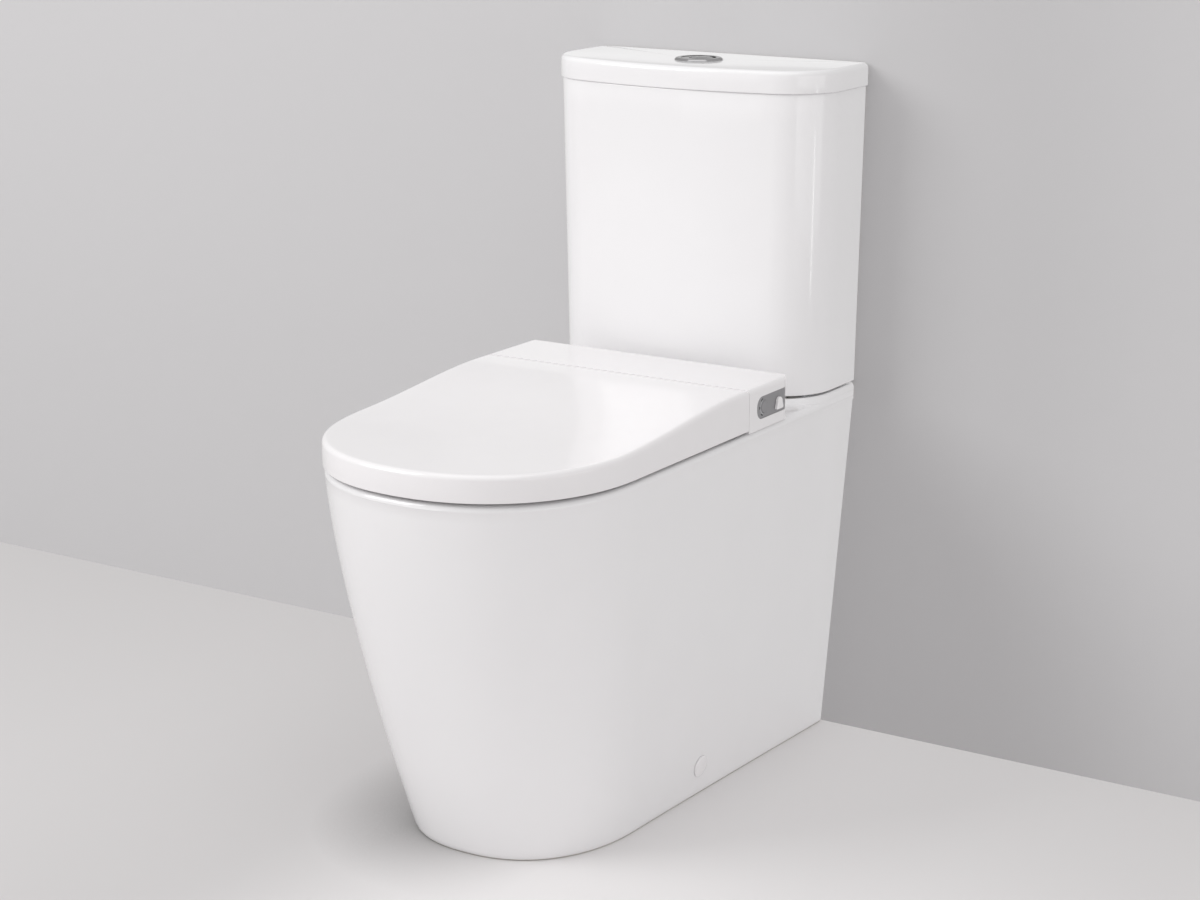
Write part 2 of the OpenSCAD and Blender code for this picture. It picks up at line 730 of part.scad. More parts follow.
module button_ring() {
    color(metal) row() translate([0, -valve_y, 0]) difference() {
        union() {
            translate([0, 0, cistern_top]) rotate_extrude() polygon([[0, 0], [ring_d / 2, 0],
                [ring_d / 2, 0.8], [ring_d / 2 - 1.6, ring_h - 0.5], [ring_d / 2 - 3.4, ring_h],
                [ring_bore / 2 + 1.2, ring_h], [0, ring_h]]);
            translate([0, 0, cup_floor_z - 3]) cylinder(r = barrel_r, h = cistern_top - cup_floor_z + 3.5);
        }
        translate([0, 0, cup_floor_z]) cylinder(r = ring_bore / 2, h = 60);
        translate([full_rod_x, 0, cup_floor_z - 5]) cylinder(r = 5 + run_clear, h = 10);
        translate([half_rod_x, 0, cup_floor_z - 5]) cylinder(r = half_stem_r + run_clear, h = 10);
        for (a = [35, 145]) rotate([0, 0, a]) translate([ring_bore / 2 + 2.6, 0, cistern_top + ring_h])
            sphere(r = 1.3);
    }
}

module button_nut() {
    nut_h = 6;
    color(inner_plastic) row() translate([0, -valve_y, lid_under - nut_h]) difference() {
        cylinder(r = barrel_r + 11, h = nut_h, $fn = 6);
        translate([0, 0, -1]) cylinder(r = barrel_r + run_clear, h = nut_h + 2, $fn = 48);
    }
}

module full_flush_button() {
    color(metal) row() translate([full_button_x, -valve_y, 0]) {
        translate([0, 0, button_under]) rotate_extrude() polygon(concat([[0, 0], [full_button_r, 0]],
            [for (k = [0 : 5]) let (a = k * 18)
                [full_button_r * cos(a), button_top - button_under - 2.2 + 2.2 * sin(a)]]));
        translate([full_rod_x - full_button_x, 0, cup_floor_z - 13])
            cylinder(r = 5, h = button_under - cup_floor_z + 13.5);
    }
}

module half_flush_button() {
    color(metal) row() translate([0, -valve_y, 0]) {
        difference() {
            translate([0, 0, button_under])
                cylinder(r = ring_bore / 2 - seat_clear, h = button_top - button_under - 1.2);
            translate([full_button_x, 0, button_under - 1]) cylinder(r = full_button_r + seat_clear, h = 20);
            translate([9, -30, button_under - 1]) cube([30, 60, 20]);
        }
        translate([half_rod_x, 0, cup_floor_z - 13])
            cylinder(r = half_stem_r, h = button_under - cup_floor_z + 13.5);
    }
}

// A coil spring of square wire: rings along a helix, closed at both ends
module coil(r, wire, h, turns) {
    per_turn = 10;
    count = turns * per_turn;
    rings = [for (i = [0 : count]) let (a = 360 * i / per_turn, z = wire + (h - 2 * wire) * i / count)
        [for (q = [[1, 0], [0, -1], [-1, 0], [0, 1]])
            [(r + q[0] * wire) * cos(a), (r + q[0] * wire) * sin(a), z + q[1] * wire]]];
    polyhedron(
        points = [for (g = rings) each g],
        faces = concat([[0, 1, 2, 3]],
            [for (j = [0 : count - 1], i = [0 : 3]) let (k = (i + 1) % 4, a = j * 4, b = a + 4)
                each [[a + i, b + i, b + k], [a + i, b + k, a + k]]],
            [[count * 4 + 3, count * 4 + 2, count * 4 + 1, count * 4]]));
}

module full_button_spring() {
    color(metal) row() translate([full_rod_x, -valve_y, cup_floor_z])
        coil(6.6, 0.7, button_under - cup_floor_z, 5);
}

module half_button_spring() {
    color(metal) row() translate([half_rod_x, -valve_y, cup_floor_z])
        coil(3.5, 0.45, button_under - cup_floor_z, 5);
}

rod_top = cup_floor_z - 13;
rod_foot = head_z + head_h - rod_sink;
module full_push_rod() {
    color(inner_plastic) row() translate([full_rod_x, -valve_y, rod_foot])
        cylinder(r = rod_r, h = rod_top - seat_clear - rod_foot);
}

module half_push_rod() {
    color(inner_plastic) row() translate([half_rod_x, -valve_y, rod_foot])
        cylinder(r = rod_r, h = rod_top - seat_clear - rod_foot);
}

inlet_flange_z = tank_floor + 1.5;
inlet_tower_r = 11;
inlet_tower_h = 170;
module inlet_valve_washer() {
    color(rubber_black) row() translate([-inlet_x, -inlet_y, tank_floor])
        tube(16, shank_r + run_clear, 1.5);
}

module inlet_valve_body() {
    color(inner_plastic) row() translate([-inlet_x, -inlet_y, 0]) difference() {
        union() {
            tail(deck_under - 12, tank_z - inlet_nut_h - 1, inlet_flange_z + 0.5);
            translate([0, 0, inlet_flange_z]) cylinder(r = 17, h = 4);
            translate([0, 0, inlet_flange_z + 3]) cylinder(r = inlet_tower_r, h = inlet_tower_h);
            translate([0, 0, inlet_flange_z + inlet_tower_h]) cylinder(r = 17, h = 26);
            translate([0, 0, inlet_flange_z + inlet_tower_h + 25]) cylinder(r = 13, h = 6);
            translate([-5, 10, inlet_flange_z + inlet_tower_h + 6]) cube([10, 20, 8]);
        }
        translate([0, 0, deck_under - 13]) cylinder(r = 6.5, h = inlet_tower_h);
    }
}

module inlet_valve_nut() {
    color(inner_plastic) row() translate([-inlet_x, -inlet_y, tank_z - inlet_nut_h]) difference() {
        cylinder(r = 17, h = inlet_nut_h, $fn = 6);
        translate([0, 0, -1]) cylinder(r = shank_r + run_clear, h = inlet_nut_h + 2, $fn = 48);
    }
}

float_h = 52;
float_z = inlet_flange_z + inlet_tower_h - float_h - seat_clear;
module float_cup() {
    color(blue_plastic) row() translate([-inlet_x, -inlet_y, float_z]) difference() {
        union() {
            tube(float_d / 2, float_d / 2 - 2, float_h);
            translate([0, 0, float_h - 2]) cylinder(r = float_d / 2, h = 2);
            cylinder(r = inlet_tower_r + 3, h = float_h);
        }
        translate([0, 0, -1]) cylinder(r = inlet_tower_r + run_clear, h = float_h + 2);
    }
}

plate_t = 3;
plate_w = 200;
plate_d = 46;
module mounting_plate() {
    color(inner_plastic) row() difference() {
        translate([-plate_w / 2, -plate_y - plate_d / 2, rim_h]) cube([plate_w, plate_d, plate_t]);
        both_sides() translate([plate_bolt_x, -plate_y, rim_h - 1])
            cylinder(r = plate_bolt_r + run_clear, h = plate_t + 2);
        translate([0, -plate_y - 12, rim_h - 1]) cube([60, 12, 10], center = true);
    }
}

module plate_bolts() {
    color(metal) row() both_sides() translate([plate_bolt_x, -plate_y, 0]) {
        translate([0, 0, deck_under - 26]) cylinder(r = plate_bolt_r, h = deck_t + plate_t + 26.5);
        translate([0, 0, rim_h + plate_t]) cylinder(r = 7.5, h = 2.5);
    }
}

module plate_nuts() {
    nut_h = 12;
    color(inner_plastic) row() both_sides()
        translate([plate_bolt_x, -plate_y, deck_under - nut_h]) difference() {
            cylinder(r = 12, h = nut_h, $fn = 6);
            translate([0, 0, -1]) cylinder(r = plate_bolt_r + run_clear, h = nut_h + 2, $fn = 48);
        }
}

base_h = 5.5;
base_top = seat_z + base_h;
base_front = housing_front - 10;
base_back = housing_back + shell_t + seat_clear;
module seat_base() {
    half = seat_half - shell_t - seat_clear;
    corner = housing_corner - shell_t - seat_clear;
    color(inner_plastic) row() difference() {
        translate([0, 0, seat_z]) linear_extrude(height = base_h) {
            translate([-half, -base_front]) square([2 * half, base_front - base_back - corner]);
            translate([-half + corner, -base_front])
                square([2 * (half - corner), base_front - base_back]);
            for (x = [-1, 1]) translate([x * (half - corner), -base_back - corner]) circle(r = corner);
        }
        translate([-plate_w / 2 - seat_clear, -plate_y - plate_d / 2 - seat_clear, rim_h - 1])
            cube([plate_w + 2 * seat_clear, plate_d + 2 * seat_clear, plate_t + 1 + seat_clear]);
        both_sides() translate([plate_bolt_x, -plate_y, rim_h - 1]) cylinder(r = 9, h = 12);
        translate([-supply_x, -drop_y, seat_z - 1]) cylinder(r = shank_r + run_clear, h = base_h + 2);
        translate([-gland_x, -drop_y, seat_z - 1]) cylinder(r = gland_r + run_clear, h = base_h + 2);
    }
}

panel_z = rim_h + panel_rise;
panel_back = housing_back + 14;
panel_front = panel_back + panel_len;
panel_r = 12;
module panel_outline(grow) {
    rotate([90, 0, 90]) linear_extrude(height = 20) {
        translate([-panel_front + panel_r, panel_z - grow])
            square([panel_len - panel_r + grow, panel_h + 2 * grow]);
        translate([-panel_front - grow, panel_z + panel_r])
            square([panel_len + 2 * grow, panel_h - 2 * panel_r]);
        for (z = [panel_r, panel_h - panel_r])
            translate([-panel_front + panel_r, panel_z + z]) circle(r = panel_r + grow);
    }
}

// The housing's outer form, drawn in by inset on the sides, back and top
module housing_form(inset) {
    half = seat_half - inset;
    r = max(shell_round - inset, 1);
    c = max(housing_corner - inset, 1);
    back = housing_back + inset;
    top = housing_top - inset;
    low = seat_z - 5;
    intersection() {
        translate([0, 0, low]) linear_extrude(height = 80) {
            translate([-half, -housing_front]) square([2 * half, housing_front - back - c]);
            translate([-half + c, -housing_front]) square([2 * (half - c), housing_front - back]);
            for (x = [-1, 1]) translate([x * (half - c), -back - c]) circle(r = c);
        }
        rotate([90, 0, 90]) translate([0, 0, -seat_w]) linear_extrude(height = 2 * seat_w) {
            translate([-housing_front, low]) square([housing_front - back, top - r - low]);
            translate([-housing_front, low]) square([housing_front - back - r, top - low]);
            translate([-back - r, top - r]) circle(r = r);
        }
        translate([0, -100, 0]) rotate([90, 0, 0]) linear_extrude(height = 300) {
            translate([-half, low]) square([2 * half, top - r - low]);
            translate([-half + r, low]) square([2 * (half - r), top - low]);
            for (x = [-1, 1]) translate([x * (half - r), top - r]) circle(r = r);
        }
    }
}

lug_x = [112, 146];
lug_w = 12;
// The hinge posts stand in front of the axis, so that the lid's rear edge can swing below it
lug_lead = 8.5;
lug_foot_h = 25;
bay_top_back = 29;
module rear_housing() {
    color(plastic) row() difference() {
        union() {
            difference() {
                intersection() {
                    housing_form(0);
                    translate([-300, -400, seat_z]) cube([600, 400, 100]);
                }
                intersection() {
                    housing_form(shell_t);
                    translate([-300, -housing_front + shell_t, 0]) cube([600, 400, 600]);
                }
            }
            both_sides() for (x = lug_x) translate([x, 0, 0]) {
                translate([0, -hinge_y, hinge_z]) rotate([0, 90, 0])
                    cylinder(r = knuckle_d / 2, h = lug_w);
                translate([0, -hinge_y - lug_lead, seat_z])
                    cube([lug_w, lug_lead - 1, hinge_z - seat_z]);
                translate([0, -hinge_y - lug_lead, seat_z])
                    cube([lug_w, hinge_y + lug_lead - housing_front + 1, lug_foot_h]);
            }
        }
        both_sides() translate([lug_x[0] - 1, -hinge_y, hinge_z]) rotate([0, 90, 0])
            cylinder(r = hinge_pin_d / 2 + run_clear, h = lug_x[1] + lug_w - lug_x[0] + 2);
        translate([-bay_w / 2 - seat_clear, -housing_front - 1, seat_z - 1])
            cube([bay_w + 2 * seat_clear, shell_t + 2, bay_top_back + seat_clear + 1]);
        translate([seat_half - shell_t - 3, 0, 0]) panel_outline(0);
    }
}

panel_face = seat_half - 0.6;
panel_button_y = panel_front - 18.5;
knob_y = panel_back + 19;
knob_z = panel_z + 9;
module side_panel() {
    color(grey) row() difference() {
        intersection() {
            translate([panel_face - 5, 0, 0]) panel_outline(-seat_clear);
            housing_form(0.6);
        }
        translate([panel_face - 2.6, -panel_button_y, panel_z + panel_h / 2]) rotate([0, 90, 0])
            cylinder(r = panel_button_d / 2 + seat_clear, h = 6);
        translate([panel_face - 6, -knob_y, knob_z]) rotate([0, 90, 0])
            cylinder(r = 3 + run_clear, h = 10);
    }
}

module panel_button() {
    color(grey) row() translate([panel_face - 2.6 + 1.2, -panel_button_y, panel_z + panel_h / 2])
        rotate([0, 90, 0]) {
            cylinder(r = panel_button_d / 2, h = 1.6);
            translate([0, 0, 1.5]) cylinder(r1 = panel_button_d / 2, r2 = panel_button_d / 2 - 0.8, h = 0.6);
        }
}

module side_knob() {
    top_r = 5;
    low_r = 7;
    rise = 10;
    foot = 5;
    foot_r = 2;
    color(plastic) row() translate([panel_face + seat_clear, -knob_y, knob_z]) {
        rotate([90, 0, 90]) linear_extrude(height = knob_h) {
            translate([0, rise - top_r]) circle(r = top_r);
            polygon([[-low_r, -foot], [low_r, -foot], [top_r, rise - top_r], [-top_r, rise - top_r]]);
            translate([-low_r + foot_r, -foot - foot_r]) square([2 * (low_r - foot_r), foot_r + 1]);
            for (x = [-1, 1]) translate([x * (low_r - foot_r), -foot]) circle(r = foot_r);
        }
        translate([-8, 0, 0]) rotate([0, 90, 0]) cylinder(r = 3, h = 8.5);
    }
}

module hinge_pins() {
    color(metal) row() both_sides()
        translate([lug_x[0] - 15, -hinge_y, hinge_z]) rotate([0, 90, 0])
            cylinder(r = hinge_pin_d / 2, h = lug_x[1] + lug_w - lug_x[0] + 16);
}

// Height of the lid's top at distance d from the wall
function lid_top(d) = let (f = (lid_reach - 114 - d) / (lid_reach - 414))
    lerp(rim_h + lid_nose_h, housing_top, s_curve(pow(min(max(f, 0), 1), 1.25)));

function lid_plan(inset, back) = d_plan(seat_half - inset, seat_half - inset, back,
    lid_reach - lid_nose, lid_reach - inset, 0.6, 2.18);

lid_mid = [0, -(lid_back + lid_reach) / 2];
// A ring of the lid's top: the plan drawn to share s of its size, then laid on the top
function lid_sheet(plan, s, drop) = [for (p = plan) let (
    x = lerp(lid_mid[0], p[0], s), y = lerp(lid_mid[1], p[1], s)) [x, y, lid_top(-y) - drop]];

module seat_lid() {
    back_round = 3;
    outer = lid_plan(shell_round, lid_back + back_round);
    inner = lid_plan(shell_t, lid_back + shell_t);
    knuckle_x = 127;
    knuckle_w = 16;
    color(plastic) row() difference() {
        union() {
            difference() {
                skin([lid_mid[0], lid_mid[1], lid_top(-lid_mid[1]) - shell_t],
                    [for (s = [0.3, 0.55, 0.75, 0.9, 0.975]) lid_sheet(inner, s, shell_t),
                        [for (p = inner) [p[0], p[1], lid_top(-p[1]) - shell_t - 1.5]],
                        raised(inner, lid_z),
                        raised(lid_plan(0.6, lid_back + 0.6), lid_z),
                        raised(lid_plan(0, lid_back), lid_z + 0.8),
                        for (a = [0, 30, 60, 90]) let (plan = lid_plan(shell_round * (1 - cos(a)),
                            lid_back + back_round * (1 - cos(a))))
                            [for (p = plan) [p[0], p[1], lid_top(-p[1]) - shell_round * (1 - sin(a))]],
                        for (s = [0.94, 0.8, 0.6, 0.35]) lid_sheet(outer, s, 0)],
                    [lid_mid[0], lid_mid[1], lid_top(-lid_mid[1])]);
                translate([shell_t - seat_half, -lid_back - shell_t - 1, lid_z - 10])
                    cube([seat_w - 2 * shell_t, shell_t + 2, hinge_z - lid_z + 13]);
            }
            both_sides() {
                translate([knuckle_x, -hinge_y, hinge_z]) rotate([0, 90, 0])
                    cylinder(r = knuckle_d / 2, h = knuckle_w);
                translate([knuckle_x, -hinge_y - knuckle_d / 2, hinge_z])
                    cube([knuckle_w, knuckle_d, hinge_drop - 1]);
            }
        }
        both_sides() translate([knuckle_x - 1, -hinge_y, hinge_z]) rotate([0, 90, 0])
            cylinder(r = hinge_pin_d / 2 + run_clear, h = knuckle_w + 2);
    }
}

ring_reach = lid_reach - shell_t - ring_gap;
ring_half = seat_half - shell_t - ring_gap;
ring_z = rim_h + bumper_h + seat_clear;
// Height of the seat's top, which keeps clear of the lid
function ring_top(d) = lid_top(d) - shell_t - 6.5;

function ring_outer(inset) = d_plan(ring_half - inset, ring_half - inset, ring_back + inset,
    lid_reach - lid_nose, ring_reach - inset, 22 - inset, 2.18);
function ring_inner(grow) = d_plan(hole_w / 2 + grow, hole_w / 2 + grow, hole_back - grow,
    lid_reach - lid_nose - 18, ring_reach - ring_front_w + grow, 70 + grow, 2.1);
function on_seat(plan, drop) = [for (p = plan) [p[0], p[1], ring_top(-p[1]) - drop]];

seat_knuckle_x = 97;
seat_knuckle_w = 14;
module seat_ring() {
    color(plastic) row() difference() {
        union() {
            loop_skin([
                raised(ring_outer(2.5), ring_z), raised(ring_outer(0), ring_z + 2.5),
                on_seat(ring_outer(0), 9), on_seat(ring_outer(2.6), 2.6), on_seat(ring_outer(9), 0),
                on_seat(ring_inner(15), 1), on_seat(ring_inner(5), 4.5), on_seat(ring_inner(0), 10),
                raised(ring_inner(0), ring_z + 4), raised(ring_inner(3), ring_z)]);
            both_sides() translate([seat_knuckle_x, 0, 0]) {
                translate([0, -hinge_y, hinge_z]) rotate([0, 90, 0])
                    cylinder(r = knuckle_d / 2, h = seat_knuckle_w);
                translate([0, -ring_back - 8, hinge_z - knuckle_d / 2 - 4])
                    cube([seat_knuckle_w, ring_back + 8 - hinge_y + 1, knuckle_d]);
            }
        }
        translate([-bay_w / 2 - 4, -bay_front - 4, rim_h])
            cube([bay_w + 8, bay_front + 4 - ring_back + 10, bay_top_front + 12.5]);
        translate([-bay_w / 2 - 4, -hole_back - 8, rim_h])
            cube([bay_w + 8, hole_back + 8 - bay_front, bay_top_front + 2]);
        both_sides() translate([seat_knuckle_x - 1, -hinge_y, hinge_z]) rotate([0, 90, 0])
            cylinder(r = hinge_pin_d / 2 + run_clear, h = seat_knuckle_w + 2);
    }
}

bumper_front_x = 72;
bumper_spots = [[(ring_half + hole_w / 2) / 2 - 5, -(hole_back + 50)],
    [bumper_front_x, -(ring_reach - ring_front_w / 2 - 2.5)]];
module seat_bumpers() {
    color(rubber_black) row() both_sides() for (p = bumper_spots)
        translate([p[0], p[1], rim_h + seat_clear]) cylinder(r = bumper_d / 2, h = bumper_h);
}

// The small bumpers hang under the lid and follow its slope
module lid_bumpers() {
    tall = 4.5;
    color(rubber_black) row() both_sides() for (p = bumper_spots) {
        slope = atan((lid_top(-p[1] - 5) - lid_top(-p[1] + 5)) / 10);
        translate([p[0], p[1], lid_top(-p[1]) - shell_t - seat_clear])
            rotate([slope, 0, 0]) translate([0, 0, -tall]) cylinder(r = bumper_d / 2 - 2, h = tall);
    }
}

bay_top_front = 17;
nozzle_tip = [0, -(bay_front - 5), rim_h + 11];
// The frame of the nozzles: y = 0 at the tip, +y back and up into the housing
module on_nozzle(side) {
    translate([side * nozzle_pitch / 2, nozzle_tip[1], nozzle_tip[2]])
        rotate([nozzle_slope, 0, 0]) rotate([-90, 0, 0]) children();
}

duct_x = 24;
duct_w = 24;
duct_top = 15;
module bay_block() {
    rotate([90, 0, 90]) translate([0, 0, -bay_w / 2]) linear_extrude(height = bay_w)
        polygon([[-base_front, seat_z], [-base_front, rim_h + bay_top_back],
            [-housing_front, rim_h + bay_top_back], [-bay_front + 6, rim_h + bay_top_front + 1.5],
            [-bay_front, rim_h + bay_top_front - 3], [-bay_front, rim_h + 4],
            [-bay_front + 4, seat_z]]);
}

module nozzle_bay() {
    ear_w = 3;
    color(plastic) row() difference() {
        union() {
            bay_block();
            for (x = [duct_x - ear_w, duct_x + duct_w])
                translate([x, -flap_axis_y - 1.9, flap_axis_z - 4.5]) cube([ear_w, 5.1, 6.4]);
        }
        translate([duct_x - ear_w - 1, -flap_axis_y, flap_axis_z]) rotate([0, 90, 0])
            cylinder(r = flap_pin_r + run_clear, h = duct_w + 2 * ear_w + 2);
        for (s = [-1, 1]) on_nozzle(s) translate([0, 0, -20])
            cylinder(r = nozzle_d / 2 + run_clear, h = 160);
        translate([duct_x, -bay_front - 1, rim_h + 4]) cube([duct_w, 120, duct_top - 4]);
        translate([-duct_x - duct_w, -bay_front - 1, rim_h + 4]) cube([duct_w, 20, duct_top - 4]);
    }
}

module nozzle(side) {
    r = nozzle_d / 2;
    color(inner_plastic) row() on_nozzle(side) difference() {
        rotate_extrude() polygon(concat(
            [for (k = [0 : 5]) let (a = k * 18) [r * sin(a), r * (1 - cos(a))]],
            [[r, nozzle_len], [0, nozzle_len]]));
        for (z = side > 0 ? [14, 18] : [14, 17, 20])
            translate([0, 0, z]) rotate([90, 0, 0]) cylinder(r = 0.8, h = r + 2, $fn = 16);
    }
}

module rear_nozzle() {
    nozzle(1);
}

module front_nozzle() {
    nozzle(-1);
}

flap_axis_y = bay_front + 2.2;
flap_axis_z = rim_h + duct_top;
flap_barrel_r = 1.5;
flap_pin_r = 0.9;
module dryer_flap() {
    color(plastic) row() {
        translate([duct_x + 0.5, -flap_axis_y - 0.7, rim_h + 4.5])
            cube([duct_w - 1, 1.4, flap_axis_z - rim_h - 4.5]);
        translate([duct_x + 0.5, -flap_axis_y, flap_axis_z]) rotate([0, 90, 0])
            cylinder(r = flap_barrel_r, h = duct_w - 1);
        translate([duct_x - 2, -flap_axis_y, flap_axis_z]) rotate([0, 90, 0])
            cylinder(r = flap_pin_r, h = duct_w + 4);
    }
}

fan_x = seat_half - 89;
fan_y = base_front - 44;
fan_r = 25;
fan_h = 34;
module fan_housing() {
    color(inner_plastic) row() difference() {
        union() {
            translate([fan_x, -fan_y, base_top]) cylinder(r = fan_r, h = fan_h);
            translate([duct_x, -base_front, base_top])
                cube([fan_x - duct_x, base_front - fan_y - 16, 11]);
        }
        translate([fan_x, -fan_y, base_top + 2]) cylinder(r = fan_r - 2, h = fan_h - 4);
        translate([fan_x, -fan_y, base_top + fan_h - 3]) cylinder(r = 14, h = 6);
        translate([duct_x + 2, -base_front - 1, base_top + 2])
            cube([fan_x - duct_x - 8, base_front - fan_y - 19, 7]);
        translate([duct_x + 2, -base_front - 1, base_top - 1]) cube([duct_w - 4, 6, 10]);
    }
    color(metal) row() translate([fan_x, -fan_y, base_top + 1]) cylinder(r = 2, h = fan_h - 8);
}

module fan_rotor() {
    blades = 9;
    color(grey) row() translate([fan_x, -fan_y, base_top + 3]) difference() {
        union() {
            cylinder(r = 8, h = fan_h - 14);
            cylinder(r = fan_r - 4, h = 1.6);
            for (k = [0 : blades - 1]) rotate([0, 0, k * 360 / blades]) translate([6, 0, 0])
                rotate([0, 0, 24]) translate([0, -0.7, 0]) cube([13, 1.4, fan_h - 16]);
        }
        translate([0, 0, -1]) cylinder(r = 2 + run_clear, h = fan_h);
    }
}

heater_w = 84;
heater_d = 42;
heater_h = 36;
heater_x = seat_half - 20;
heater_y = base_front - 4;
module heater_tank() {
    color(metal) row() translate([-heater_x, -heater_y, base_top]) difference() {
        cube([heater_w, heater_d, heater_h]);
        for (x = [-1, heater_w]) for (y = [-1, heater_d]) translate([x, y, -1])
            rotate([0, 0, 45]) cube([8, 8, 80], center = true);
    }
    color(inner_plastic) row() for (x = [20, heater_w - 24])
        translate([x - heater_x, heater_d / 2 - heater_y, base_top + heater_h]) cylinder(r = 6, h = 5);
}

module valve_block() {
    wide = 34;
    color(blue_plastic) row() translate([heater_w + 11 - heater_x, -(base_front - 6), base_top]) {
        cube([wide, 44, 22]);
        translate([wide / 2, 30, 21]) cylinder(r = 9, h = 16);
    }
}

board_w = 46;
board_d = 72;
board_t = 1.6;
board_rise = 12;
module circuit_board() {
    row() translate([seat_half - 13 - board_w, -(base_front - 4), base_top]) {
        color("seagreen") {
            translate([0, 0, board_rise]) cube([board_w, board_d, board_t]);
            for (x = [3, board_w - 3], y = [3, board_d - 3]) translate([x, y, 0])
                cylinder(r = 2.4, h = board_rise + 0.5);
        }
        color(rubber_black) translate([0, 0, board_rise + board_t - 0.1]) {
            translate([6, 12, 0]) cube([16, 16, 6]);
            translate([28, 18, 0]) cube([10, 24, 9]);
            translate([8, 48, 0]) cylinder(r = 6, h = 14);
        }
    }
}

// The seat's supply and its cable leave downward, through the base and two holes in the deck
supply_x = seat_half - 77;
supply_hole_r = 14;
gland_x = seat_half - 45;
gland_r = 5;
drop_y = housing_back + 26;
stub_drop = 30;
module water_inlet() {
    low = deck_under - stub_drop;
    color(metal) row() translate([-supply_x, -drop_y, 0]) difference() {
        union() {
            tail(low, seat_z - 1, base_top + 1);
            translate([0, 0, base_top]) cylinder(r = 14, h = 6, $fn = 6);
            translate([0, 0, base_top + 5]) cylinder(r = 8, h = 12);
        }
        translate([0, 0, low - 1]) cylinder(r = 6.5, h = base_top - low + 12);
    }
}

module cable_gland() {
    low = deck_under - 8;
    color(rubber_black) row() translate([-gland_x, -drop_y, 0]) difference() {
        union() {
            translate([0, 0, low]) cylinder(r = gland_r, h = base_top - low + 1);
            translate([0, 0, base_top]) cylinder(r1 = gland_r + 3, r2 = gland_r + 1, h = 5);
        }
        translate([0, 0, low - 1]) cylinder(r = 3.2, h = base_top - low + 8);
    }
}

pan();
bowl_and_trap();
side_fixing_caps();
side_fixing_screws();
floor_brackets();
cistern_tank();
cistern_lid();
coupling_gasket();
coupling_bolts();
bolt_washers();
wing_nuts();
cistern_pads();
flush_valve_body();
flush_valve_nut();
flush_valve_washer();
overflow_tube();
valve_seal();
button_ring();
button_nut();
full_flush_button();
half_flush_button();
full_button_spring();
half_button_spring();
full_push_rod();
half_push_rod();
inlet_valve_body();
inlet_valve_nut();
inlet_valve_washer();
float_cup();
mounting_plate();
plate_bolts();
plate_nuts();
seat_base();
rear_housing();
side_panel();
panel_button();
side_knob();
hinge_pins();
seat_lid();
lid_bumpers();
seat_ring();
seat_bumpers();
nozzle_bay();
rear_nozzle();
front_nozzle();
dryer_flap();
fan_housing();
fan_rotor();
heater_tank();
valve_block();
circuit_board();
water_inlet();
cable_gland();
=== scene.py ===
# %% [markdown]
# # A close coupled toilet with an electronic bidet seat
#
# The real object is two large castings of glazed china, a seat unit of glossy moulded plastic,
# and a small chrome flush button. Nothing on it is busy, so the likeness rests on smooth long
# curves, crisp joint lines, and clean gloss.
#
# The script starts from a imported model, the frame, which holds every solid in metres. The front
# looks along -Y, the wall is at +Y, and Z is up. Each large smooth form is made again here with
# many more points than the solid has, and takes its place. Small solids stay.

# %% Load the frame
import math

import bmesh
import bpy
import numpy as np
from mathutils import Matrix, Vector


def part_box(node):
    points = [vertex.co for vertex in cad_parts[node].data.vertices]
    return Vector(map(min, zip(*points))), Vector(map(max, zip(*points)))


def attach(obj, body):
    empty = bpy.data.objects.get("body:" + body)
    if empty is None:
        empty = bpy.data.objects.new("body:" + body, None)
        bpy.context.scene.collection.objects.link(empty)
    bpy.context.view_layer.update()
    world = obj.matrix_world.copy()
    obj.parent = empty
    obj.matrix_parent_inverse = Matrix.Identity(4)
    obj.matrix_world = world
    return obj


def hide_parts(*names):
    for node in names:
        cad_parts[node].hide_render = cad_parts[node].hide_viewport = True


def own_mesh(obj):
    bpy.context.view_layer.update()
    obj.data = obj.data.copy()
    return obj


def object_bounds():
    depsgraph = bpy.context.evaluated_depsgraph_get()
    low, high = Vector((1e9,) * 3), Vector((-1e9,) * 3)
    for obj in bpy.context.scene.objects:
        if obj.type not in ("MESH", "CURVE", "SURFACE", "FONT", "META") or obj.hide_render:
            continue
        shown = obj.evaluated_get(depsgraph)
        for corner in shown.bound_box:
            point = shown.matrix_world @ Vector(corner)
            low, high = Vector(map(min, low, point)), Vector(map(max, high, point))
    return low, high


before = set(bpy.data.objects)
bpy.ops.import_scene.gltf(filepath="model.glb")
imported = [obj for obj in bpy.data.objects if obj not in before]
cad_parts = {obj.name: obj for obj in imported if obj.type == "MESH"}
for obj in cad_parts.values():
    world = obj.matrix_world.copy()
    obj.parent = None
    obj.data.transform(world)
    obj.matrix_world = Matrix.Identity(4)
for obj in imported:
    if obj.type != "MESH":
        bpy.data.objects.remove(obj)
cad_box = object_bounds()
low, high = cad_box
print("nodes", len(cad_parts), "size", [round(v, 3) for v in high - low])

# %% [markdown]
# ## The camera
#
# A long lens keeps the sides of a product nearly parallel. This one stands to the right of the
# toilet, at chest height, and looks down by fifteen degrees. The numbers come from the vanishing
# lines of the photograph, so the outline falls where the photograph has it.

# %% Set the camera


def put(name, data):
    """A new object in the scene."""
    thing = bpy.data.objects.new(name, data)
    bpy.context.scene.collection.objects.link(thing)
    return thing


camera_data = bpy.data.cameras.new("product_lens")
camera_data.lens = 76.41
camera_data.sensor_width = 36.0
camera_data.sensor_fit = "HORIZONTAL"
camera = put("product_camera", camera_data)
camera.location = (1.57769, high.y - 2.78324, 1.18784)
camera.rotation_euler = (math.radians(90 - 14.822), 0, math.radians(32.475))
bpy.context.scene.camera = camera
print("camera", [round(v, 3) for v in camera.location])

